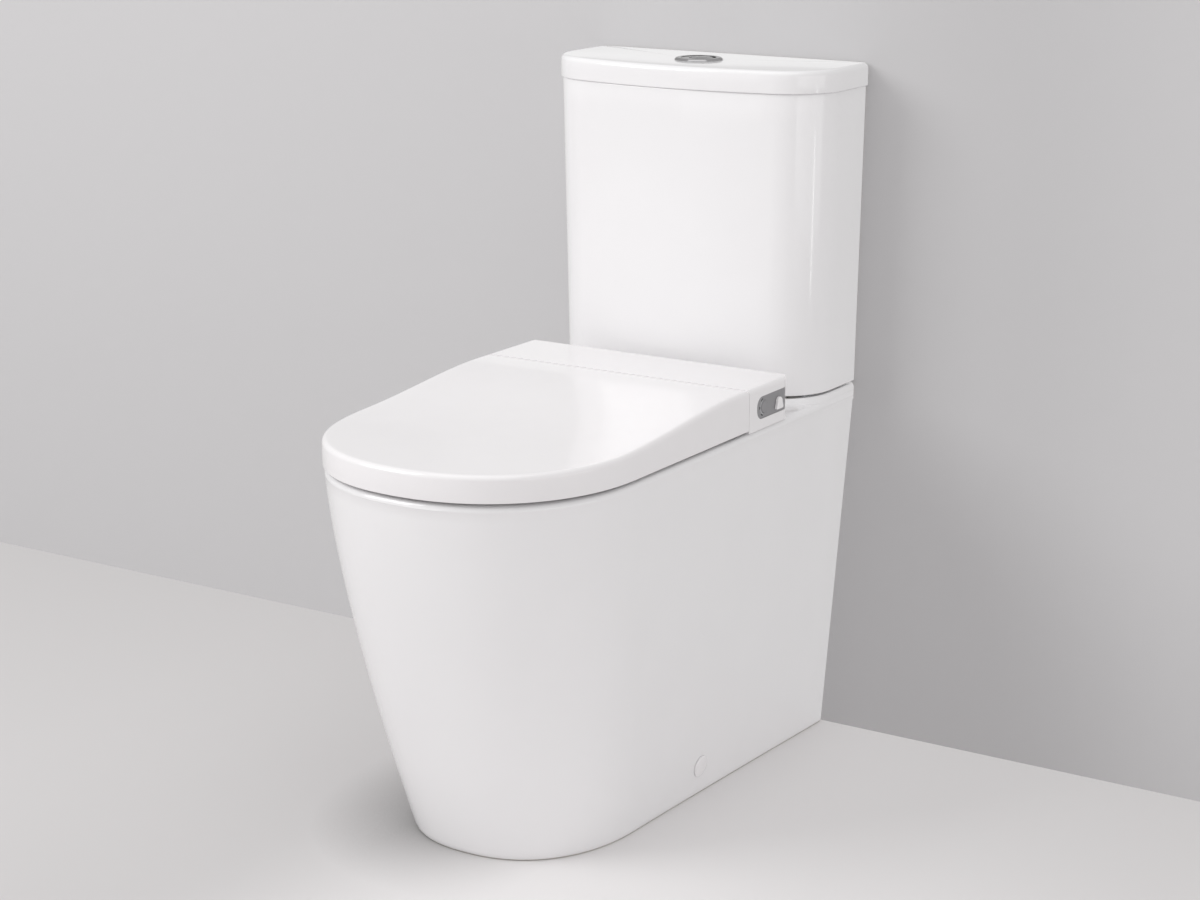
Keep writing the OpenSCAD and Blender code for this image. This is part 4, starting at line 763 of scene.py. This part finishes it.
# %% The lid's shell
HOUSING_TOP, SEAT_HALF, LID_REACH, LID_NOSE = 500, 185, 714, 193
LID_BACK, LID_Z, SHELL_T, SHELL_ROUND, BACK_ROUND, FOOT_ROUND = 272.3, 451.5, 2.5, 6, 3.7, 0.6
PIN_R, KNUCKLE_R, LID_KNUCKLE, RING_KNUCKLE = 2.25, 4.5, (127, 143), (97, 111)
hinge_y, hinge_z = LID_BACK + 12.7, HOUSING_TOP - 7.5


def lid_top(distance):
    """The height of the lid's top at a distance from the wall."""
    f = np.clip((LID_REACH - 114 - distance) / (LID_REACH - 414), 0, 1) ** 1.25
    return lerp(RIM_H + 34, HOUSING_TOP, f * f * (3 - 2 * f))


def lid_plan(inset, back):
    half = SEAT_HALF - inset
    return d_plan(half, half, back, LID_REACH - LID_NOSE, LID_REACH - inset, 0.6, 2.18)


lid_mid = np.array((0, -(LID_BACK + LID_REACH) / 2))


def lid_sheet(plan, share, drop):
    """A ring of the lid's top: the plan shrunk towards the middle and laid on the slope."""
    shrunk = lid_mid + (plan - lid_mid) * share
    return raised(shrunk, lid_top(-shrunk[:, 1]) - drop)


def hinge_bars(span, radius, spare=0):
    """A bar on the hinge line on each side, over a span of distances from the middle."""
    near, far = span[0] - spare, span[1] + spare
    return both(lambda s: bar((s * near, -hinge_y, hinge_z), (s * far, -hinge_y, hinge_z), radius))


outer, inner = lid_plan(SHELL_ROUND, LID_BACK + BACK_ROUND), lid_plan(SHELL_T, LID_BACK + SHELL_T)
sheet_shares = np.linspace(0.06, 0.985, 22)
lid_rings = [lid_sheet(inner, s, SHELL_T) for s in sheet_shares]
lid_rings += [raised(inner, lid_top(-inner[:, 1]) - SHELL_T - 1.5)]
lid_rings += [raised(inner, z) for z in (470, LID_Z)]
lid_rings += [raised(lid_plan(below(FOOT_ROUND, a), LID_BACK + below(FOOT_ROUND, a)), LID_Z + inward(0.8, a))
              for a in rim_arc[::2]]
for a in quarter(9):
    plan = lid_plan(inward(SHELL_ROUND, a), LID_BACK + inward(BACK_ROUND, a))
    lid_rings.append(raised(plan, lid_top(-plan[:, 1]) - below(SHELL_ROUND, a)))
lid_rings += [lid_sheet(outer, s, 0) for s in sheet_shares[::-1]]
lid_centre = float(lid_top(-lid_mid[1]))
lid = skin("seat_lid_shell", (*lid_mid, lid_centre - SHELL_T), lid_rings, (*lid_mid, lid_centre), seat_white)
carve(lid, [block(SHELL_T - SEAT_HALF, -LID_BACK - SHELL_T - 1, LID_Z - 10,
                  SEAT_HALF - SHELL_T, -LID_BACK + 1, hinge_z + 3)])
webs = both(lambda s: block(s * LID_KNUCKLE[0], -hinge_y - KNUCKLE_R, hinge_z,
                            s * LID_KNUCKLE[1], -hinge_y + KNUCKLE_R, HOUSING_TOP - 1))
carve(lid, hinge_bars(LID_KNUCKLE, KNUCKLE_R) + webs, "UNION")
carve(lid, hinge_bars(LID_KNUCKLE, PIN_R, 1))
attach(lid, "lid")
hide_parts("seat_lid")
print("lid faces", len(lid.data.polygons))

# %% [markdown]
# ## The seat ring
#
# The ring is a closed band of rings like a tyre: under, outer edge, top, down into the opening,
# and back. Its top dips towards the opening, which makes a seat comfortable and gives the broad
# soft highlight.

# %% The seat ring
RING_HALF, RING_REACH, RING_BACK, RING_Z = SEAT_HALF - 6.5, LID_REACH - 6.5, 304, 453.3
HOLE_W, HOLE_BACK, HOLE_FRONT = 216, 370, RING_REACH - 66
EDGE_ROUND, TOP_ROUND, DIP = 2.5, 9, 15
BAY_HALF, BAY_JOIN = 56, 350


def ring_outer(inset):
    return d_plan(RING_HALF - inset, RING_HALF - inset, RING_BACK + inset, LID_REACH - LID_NOSE,
                  RING_REACH - inset, 22 - inset, 2.18)


def ring_inner(grow):
    return d_plan(HOLE_W / 2 + grow, HOLE_W / 2 + grow, HOLE_BACK - grow, LID_REACH - LID_NOSE - 18,
                  HOLE_FRONT + grow, 70 + grow, 2.1)


def on_seat(plan, drop):
    return raised(plan, lid_top(-plan[:, 1]) - SHELL_T - 6.5 - drop)


seat_rings = [raised(ring_outer(below(EDGE_ROUND, a)), RING_Z + inward(EDGE_ROUND, a)) for a in rim_arc]
seat_rings += [on_seat(ring_outer(inward(TOP_ROUND, a)), below(TOP_ROUND, a)) for a in fine_arc]
seat_rings += [on_seat(lerp(ring_outer(TOP_ROUND), ring_inner(DIP), f), f * f)
               for f in np.linspace(0.1, 1, 10)]
seat_rings += [on_seat(ring_inner(DIP * math.cos(a)), 1 + 9 * (1 - math.cos(math.pi / 2 - a)) ** 1.2)
               for a in fine_arc[1:]]
seat_rings += [raised(ring_inner(inward(3, a)), RING_Z + below(4, a)) for a in rim_arc]
ring = loop_skin("seat_ring_moulding", seat_rings, seat_white)
arms = both(lambda s: block(s * RING_KNUCKLE[0], -RING_BACK - 8, hinge_z - 8.5,
                            s * RING_KNUCKLE[1], -hinge_y + 1, hinge_z + 0.5))
carve(ring, hinge_bars(RING_KNUCKLE, KNUCKLE_R) + arms, "UNION")
carve(ring, [block(-BAY_HALF, -BAY_JOIN - 4, RIM_H, BAY_HALF, -RING_BACK + 10, RIM_H + 29.5),
             block(-BAY_HALF, -HOLE_BACK - 8, RIM_H, BAY_HALF, -BAY_JOIN, RIM_H + 19),
             *hinge_bars(RING_KNUCKLE, PIN_R, 1)])
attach(ring, "seat")
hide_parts("seat_ring")
print("ring faces", len(ring.data.polygons))

# %% [markdown]
# ## The knob and the marks on the side panel
#
# The knob is a small white tongue with a round top, a wider foot and soft edges. Its outline is
# drawn a few times, a little smaller each time, while it moves outward on a quarter circle. The
# marks beside the button stand out by a tenth of a millimetre, as a thick print does.

# %% The knob and the panel marks
PANEL_FACE, PANEL_Z, PANEL_FRONT = 184.4, 460.5, 254
KNOB_Y, KNOB_Z, KNOB_H, KNOB_ROUND, KNOB_BULGE = 203, 469.5, 4, 1.3, 0.12
TIP_R, TIP_UP, FOOT_R, FOOT_OUT, FOOT_DOWN = 5.5, 4.5, 2, 5.7, 2.5
LINE_R, LINE_W, TICK_R, PRINT_T = 9.2, 0.9, 10.8, 0.1


tongue = np.array(arc((0, TIP_UP), TIP_R, 0, 180, 24) + arc((-FOOT_OUT, -FOOT_DOWN), FOOT_R, 180, 270, 6)
                  + arc((FOOT_OUT, -FOOT_DOWN), FOOT_R, 270, 360, 6))
knob_x = PANEL_FACE + 0.3


def on_panel(plan, out):
    """The knob's plan stood up against the side of the unit, further out by a distance."""
    return np.column_stack([np.full(len(plan), knob_x + out), -KNOB_Y + plan[:, 0], KNOB_Z + plan[:, 1]])


knob_rings = [on_panel(tongue * 0.96, 0), on_panel(tongue, 0.3)]
for a in rim_arc:
    smaller = tongue * (1 - inward(KNOB_ROUND, a) / 6)
    knob_rings.append(on_panel(smaller, KNOB_H - below(KNOB_ROUND, a)))
knob_rings += [on_panel(smaller * f, KNOB_H + KNOB_BULGE * (1 - f * f)) for f in (0.75, 0.45)]
knob = skin("side_knob_tongue", (knob_x, -KNOB_Y, KNOB_Z), knob_rings,
            (knob_x + KNOB_H + KNOB_BULGE, -KNOB_Y, KNOB_Z), seat_white)
carve(knob, [bar((PANEL_FACE - 7.7, -KNOB_Y, KNOB_Z), (knob_x + 1, -KNOB_Y, KNOB_Z), 3)], "UNION")
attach(knob, "knob")
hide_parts("side_knob")

button_mid = (18.5 - PANEL_FRONT, PANEL_Z + 13.5)


def raised_strip(name, radius, start, end, steps, width, finish):
    """A thin print on the panel, along an arc round the button."""
    middles = np.array(arc(button_mid, radius, start, end, steps))
    along = np.gradient(middles, axis=0)
    side = np.column_stack([-along[:, 1], along[:, 0]]) / np.linalg.norm(along, axis=1)[:, None] * width / 2
    n = len(middles)
    loop = np.vstack([middles + side, (middles - side)[::-1]])
    points = [(x, *p) for x in (PANEL_FACE - PRINT_T, PANEL_FACE + PRINT_T) for p in loop]
    faces = [(i, (i + 1) % (2 * n), 2 * n + (i + 1) % (2 * n), 2 * n + i) for i in range(2 * n)]
    for k, flip in ((0, 1), (2 * n, -1)):
        faces += [(k + i, k + i + 1, k + 2 * n - 2 - i, k + 2 * n - 1 - i)[::-flip] for i in range(n - 1)]
    return new_piece(name, points, faces, finish)


ring_line = raised_strip("panel_ring_line", LINE_R, 115, 245, 40, LINE_W, mark_grey)
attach(ring_line, "base")
for number, (start, end, wide) in enumerate(((112, 136, 1.4), (172, 188, 2.2), (224, 248, 1.4))):
    tick = raised_strip(f"panel_tick_{number}", TICK_R, start, end, 8, wide, jet_black)
    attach(tick, "base")
print("knob", [round(v, 4) for v in knob.dimensions], "marks 4")

# %% [markdown]
# ## Threads and fan blades
#
# Threads and blades are one shape many times over, so Geometry Nodes makes them. The thread
# tree sweeps a small triangle along a spiral and sets a copy on every bolt. The blade tree
# bends one blade from an arc and turns a copy of it at each step round the hub. Each tree has
# named inputs, so another pitch is one changed number.

# %% Helpers for the node trees


def node_tree(name, **inputs):
    """A tree with geometry in and out, the sockets of its named inputs, and a way to add nodes."""
    tree = bpy.data.node_groups.new(name, "GeometryNodeTree")
    tree.interface.new_socket("Geometry", in_out="INPUT", socket_type="NodeSocketGeometry")
    for kind, labels in inputs.items():
        for label in labels.split():
            tree.interface.new_socket(label, in_out="INPUT", socket_type="NodeSocket" + kind)
    tree.interface.new_socket("Geometry", in_out="OUTPUT", socket_type="NodeSocketGeometry")

    def geo(kind, links=None, values=None):
        return add(tree, "GeometryNode" + kind, links, values).outputs[0]

    return tree, add(tree, "NodeGroupInput").outputs, geo


def run_tree(piece, tree, values):
    """Runs a tree on a piece and keeps the plain mesh that comes out."""
    step = piece.modifiers.new("tree", "NODES")
    step.node_group = tree
    for item in tree.interface.items_tree:
        if item.in_out == "INPUT" and item.name in values:
            step[item.identifier] = values[item.name]
    return keep_result(piece)


# %% The thread tree
thread, given, geo = node_tree("thread_ridges", Float="Radius Pitch Turns Ridge", Int="Sides Copies",
                               Vector="First Step", Material="Finish")
rise = sums(thread, "MULTIPLY", given["Pitch"], given["Turns"])
spiral = geo("CurveSpiral", {"Rotations": given["Turns"], "Start Radius": given["Radius"],
                             "End Radius": given["Radius"], "Height": rise}, {"Resolution": 28})
wire = geo("CurvePrimitiveCircle", {"Radius": given["Ridge"], "Resolution": given["Sides"]})
ridge = geo("CurveToMesh", {"Curve": spiral, "Profile Curve": wire}, {"Fill Caps": True})
spots = geo("MeshLine", {"Count": given["Copies"], "Start Location": given["First"], "Offset": given["Step"]})
copies = geo("RealizeInstances", {0: geo("InstanceOnPoints", {"Points": spots, "Instance": ridge})})
coated = geo("SetMaterial", {"Geometry": copies, "Material": given["Finish"]})
add(thread, "NodeGroupOutput", {0: coated})


def thread_run(name, place, foot, top, radius, pitch, finish, pair=False):
    """Thread ridges round a bar that stands at (x, y), or at both (x, y) and (-x, y)."""
    x, y = place
    ridge = pitch * 0.36
    piece = run_tree(put(name, bpy.data.meshes.new(name)), thread, {
        "Radius": (radius - ridge * 0.2) * mm, "Pitch": pitch * mm, "Turns": (top - foot) / pitch,
        "Ridge": ridge * mm, "Sides": 3, "Copies": 2 if pair else 1,
        "First": (x * mm, (y + row_shift) * mm, foot * mm), "Step": (-2 * x * mm, 0.0, 0.0),
        "Finish": finish})
    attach(piece, "base")
    print(name, "faces", len(piece.data.polygons))


BOLT_PITCH, TAIL_PITCH, TAIL_R = 1.25, 1.81, 10.4
thread_run("coupling_bolt_threads", (BOLT_X, -VALVE_Y), 415, 424, 4, BOLT_PITCH, zinc, True)
thread_run("plate_bolt_threads", (PLATE_BOLT_X, PLATE_BOLT_Y), 409, 421, 3.9, BOLT_PITCH, zinc, True)
thread_run("cistern_tail_thread", INLET, 423.5, 445.5, TAIL_R, TAIL_PITCH, satin_white)
thread_run("seat_tail_thread", SEAT_TAIL, 405.5, 443.5, TAIL_R, TAIL_PITCH, zinc)

# %% [markdown]
# The springs under the two flush buttons are the same spiral with a round wire. A real coil gets
# shorter under the thumb; these keep their rest length.

# %% The button springs
BUTTON_TRAVEL, COILS = 8, 5.0


def return_spring(node, radius, wire_r):
    foot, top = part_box(node)
    x, y, height = (foot.x + top.x) / 2, (foot.y + top.y) / 2, top.z - foot.z
    name = node + "_coil"
    piece = run_tree(put(name, bpy.data.meshes.new(name)), thread, {
        "Radius": radius * mm, "Pitch": (height - 2.1 * wire_r * mm) / COILS, "Turns": COILS,
        "Ridge": wire_r * mm, "Sides": 12, "Copies": 1, "First": (x, y, foot.z + wire_r * mm),
        "Step": (0.0, 0.0, 0.0), "Finish": zinc})
    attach(piece, "cistern_cover")
    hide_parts(node)
    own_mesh(piece)
    print(piece.name, "faces", len(piece.data.polygons), "height", round(height / mm, 2))


return_spring("full_button_spring", 6.6, 0.7)
return_spring("half_button_spring", 3.5, 0.45)

# %% The fan's blades
FAN_X, FAN_Y, FAN_Z, BLADES, BLADE_H = 96, -218, 456.8, 15, 17
blades, given, geo = node_tree("radial_blades", Float="Hub Bend Sweep Thickness Height", Int="Blades",
                               Vector="Centre", Material="Finish")
bow = geo("CurveArc", {"Radius": given["Bend"], "Sweep Angle": given["Sweep"]}, {"Resolution": 10})
section = geo("CurvePrimitiveQuadrilateral", {"Width": given["Thickness"], "Height": given["Height"]})
blade = geo("CurveToMesh", {"Curve": bow, "Profile Curve": section}, {"Fill Caps": True})
back = add(blades, "ShaderNodeCombineXYZ", {"X": sums(blades, "MULTIPLY", given["Bend"], -1.0)})
rooted = geo("Transform", {"Geometry": blade, "Translation": back.outputs[0]})
upturned = geo("Transform", {"Geometry": rooted}, {"Rotation": (0.0, 0.0, math.radians(-78))})
roots = geo("MeshCircle", {"Vertices": given["Blades"], "Radius": given["Hub"]})
share = sums(blades, "DIVIDE", geo("InputIndex"), given["Blades"])
spin = add(blades, "ShaderNodeCombineXYZ", {"Z": sums(blades, "MULTIPLY", share, 2 * math.pi)})
around = geo("InstanceOnPoints", {"Points": roots, "Instance": upturned, "Rotation": spin.outputs[0]})
placed = geo("Transform", {"Geometry": around, "Translation": given["Centre"]})
joined = add(blades, "GeometryNodeJoinGeometry")
for part in (geo("RealizeInstances", {0: placed}), given["Geometry"]):
    blades.links.new(part, joined.inputs[0])
dyed = geo("SetMaterial", {"Geometry": joined.outputs[0], "Material": given["Finish"]})
add(blades, "NodeGroupOutput", {0: dyed})

# The wheel's profile, as (radius, height) points, goes once round on a lathe.
profile = [(2.05, 0), (21, 0), (21, 1.6), (8.8, 1.6), (8, 2.4), (8, 19), (7, 20), (2.05, 20)]
wheel_rings = [raised(np.array(arc((FAN_X, FAN_Y), r, 0, 360, 64)[:-1]), FAN_Z + z) for r, z in profile]
wheel = loop_skin("fan_rotor_wheel", wheel_rings, jet_black)
run_tree(wheel, blades, {
    "Blades": BLADES, "Hub": 7.5 * mm, "Bend": 15 * mm, "Sweep": math.radians(50),
    "Thickness": 1.2 * mm, "Height": BLADE_H * mm, "Finish": jet_black,
    "Centre": (FAN_X * mm, (FAN_Y + row_shift) * mm, (FAN_Z + 9.9) * mm)})
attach(wheel, "rotor")
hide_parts("fan_rotor")
print("wheel faces", len(wheel.data.polygons), "size", [round(v, 4) for v in wheel.dimensions])

# %% [markdown]
# ## Finishes for the solids that stay
#
# The solids of the frame keep their shape. A dictionary lists those that aren't satin white, and
# the loop gives each visible solid its finish through the material slots of the object, without
# touching the mesh.

# %% Dress the remaining solids
dress = {
    seat_white: ["rear_housing", "side_fixing_caps", "nozzle_bay", "dryer_flap"],
    valve_blue: ["overflow_tube", "float_cup", "valve_block"],
    panel_grey: ["side_panel", "panel_button"],
    jet_black: ["cable_gland"],
    black_rubber: ["bolt_washers", "flush_valve_washer", "valve_seal", "inlet_valve_washer"],
    pale_rubber: ["seat_bumpers", "lid_bumpers", "coupling_gasket", "cistern_pads"],
    chrome: ["button_ring", "full_flush_button", "half_flush_button"],
    zinc: ["side_fixing_screws", "coupling_bolts", "wing_nuts", "plate_bolts", "hinge_pins",
           "water_inlet", "floor_brackets"],
    stainless: ["heater_tank"],
    board_green: ["circuit_board"],
}
finish_of = {name: finish for finish, names in dress.items() for name in names}
staying = {name: solid for name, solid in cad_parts.items() if not solid.hide_render}
for name, solid in staying.items():
    finish = finish_of.get(name, satin_white)
    if not solid.material_slots:
        solid.data.materials.append(finish)
    for place in solid.material_slots:
        place.link = "OBJECT"
        place.material = finish
print("dressed", len(staying), "of", len(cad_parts))

# %% [markdown]
# ## Floor, backdrop and light
#
# The pale floor and backdrop set the object off, and their colour carries painted light and shade
# along X: the floor has a painted darker band left of the foot and a painted brighter band right
# of it, where the object's shadow falls, and the backdrop a painted shadow to the right of the
# object. Ambient occlusion, which tells how closed in a point is, paints a contact shadow into
# the floor's colour left of the foot. The backdrop stands just behind the cistern, shows its front
# only, and lets every other ray through, so a view from behind looks past it and the lamps reach
# the back of the object.

# %% Floor and backdrop
STAGE_Z, STAGE_HALF, STAGE_TOP, PAINTED_SHADOW_REACH = -0.0006, 9, 5, 0.12


def stage_finish(name, tones, painted_shadow, through):
    """A flat paint with painted light and shade along X and a painted contact shadow; it shows its front
    only.
    """
    material, tree, place = new_finish(name, {})
    tree.nodes.remove(tree.nodes["Principled BSDF"])
    across = add(tree, "ShaderNodeSeparateXYZ", {"Vector": place}).outputs
    # The ramp along X paints light and shade into the colour.
    painted_light_ramp = add(tree, "ShaderNodeValToRGB", {"Fac": remap(tree, across["X"], (-1.0, 1.0))})
    painted_light_ramp.color_ramp.interpolation = "EASE"
    while len(painted_light_ramp.color_ramp.elements) < len(tones):
        painted_light_ramp.color_ramp.elements.new(0.5)
    for element, (x, hex_code) in zip(painted_light_ramp.color_ramp.elements, tones):
        element.position, element.color = (x + 1) / 2, paint(hex_code)
    # Ambient occlusion paints a contact shadow into the colour, on the left only, fading towards the wall.
    near = add(tree, "ShaderNodeAmbientOcclusion", values={"Distance": PAINTED_SHADOW_REACH}, samples=4)
    pull = remap(tree, across["X"], (-0.1, 0.1), (painted_shadow, 0.0))
    fade = remap(tree, across["Y"], (0.0, 0.2), (1.0, 0.0))
    closed = sums(tree, "SUBTRACT", 1.0, near.outputs["AO"])
    painted_shade = sums(tree, "MULTIPLY", sums(tree, "MULTIPLY", closed, fade), pull)
    shaded = add(tree, "ShaderNodeVectorMath", {
        0: painted_light_ramp.outputs["Color"], "Scale": sums(tree, "SUBTRACT", 1.0, painted_shade)}, operation="SCALE")
    body = add(tree, "ShaderNodeBsdfDiffuse", {"Color": shaded.outputs[0]})
    clear = add(tree, "ShaderNodeBsdfTransparent")
    seen = sums(tree, "SUBTRACT", 1.0, add(tree, "ShaderNodeNewGeometry").outputs["Backfacing"])
    if through:
        camera_ray = add(tree, "ShaderNodeLightPath").outputs["Is Camera Ray"]
        seen = sums(tree, "MULTIPLY", seen, camera_ray)
    mix = add(tree, "ShaderNodeMixShader", {0: seen, 1: clear.outputs[0], 2: body.outputs[0]})
    tree.links.new(mix.outputs[0], tree.nodes["Material Output"].inputs["Surface"])
    return material


def stage_sheet(name, corners, finish):
    mesh = bpy.data.meshes.new(name)
    mesh.from_pydata(corners, [], [(0, 1, 2, 3)])
    mesh.materials.append(finish)
    sheet = put(name, mesh)


# Painted light and shade: darker left of the foot, brighter right of it where its shadow falls.
FLOOR_PAINTED_LIGHT = [(-0.7, "D4D2D2"), (-0.22, "CFCDCD"), (0.15, "F0EEEE"), (0.45, "E6E4E4"), (0.75, "DEDCDC")]
# Painted shadow: a darker band on the backdrop to the right of the object.
WALL_PAINTED_SHADE = [(0.0, "CDCCCD"), (0.38, "C5C4C5"), (0.65, "CDCCCD")]
wall_y = high.y + 1.5 * mm
ends = (-STAGE_HALF, STAGE_HALF)
joint_line = [(x, wall_y, STAGE_Z) for x in ends]
stage_sheet("pale_floor", [(x, -STAGE_HALF, STAGE_Z) for x in ends] + joint_line[::-1],
            stage_finish("pale_floor_paint", FLOOR_PAINTED_LIGHT, 0.8, False))
stage_sheet("grey_backdrop", joint_line + [(x, wall_y, STAGE_TOP) for x in ends[::-1]],
            stage_finish("grey_backdrop_paint", WALL_PAINTED_SHADE, 0.0, True))
print("stage at y", round(wall_y, 4))

# %% [markdown]
# White on pale grey needs almost even light, or the white clips, so a bright even world does most
# of the work. Large soft lamps from the front left and from above lift those faces a little, and
# a weak one low in front opens the shade under the seat. A wide fill evens the long right side, a
# lamp from behind skims the top of the cistern's lid, and a narrow strip draws the fine upright
# highlight on the cistern's round corner.

# %% World and lamps
world = bpy.data.worlds.new("soft_studio")
bpy.context.scene.world = world
world.use_nodes = True
sky = world.node_tree.nodes["Background"]
sky.inputs["Color"].default_value = paint("F5F4F4")
sky.inputs["Strength"].default_value = 0.66


def lamp(name, place, target, width, height, power):
    data = bpy.data.lights.new(name, "AREA")
    data.shape = "RECTANGLE"
    data.size, data.size_y, data.energy = width, height, power
    light = put(name, data)
    light.location = place
    light.rotation_euler = (Vector(target) - Vector(place)).to_track_quat("-Z", "Y").to_euler()


middle = (low + high) / 2
lamp("front_left_softbox", (-2.2, -2.4, 2.5), middle, 2.0, 2.0, 56)
lamp("front_low_softbox", (-0.9, -3.2, 0.8), middle, 1.5, 1.2, 2.5)
lamp("overhead_softbox", (0.2, -0.8, 3.0), middle, 2.5, 2.5, 15)
lamp("rear_softbox", (-1.5, 2.9, 1.16), (0, 0.27, 0.86), 1.3, 0.36, 0.43)
lamp("right_fill", (3.1, -0.6, 0.5), middle, 3.2, 1.0, 10)
lamp("corner_strip", (1.47, 0.163, 0.415), (0.17, 0.22, 0.7), 0.03, 0.27, 0.15)

# %% [markdown]
#
# Standard view keeps a colour as it is written.

# %% Finish
bpy.context.scene.view_settings.view_transform = "Standard"
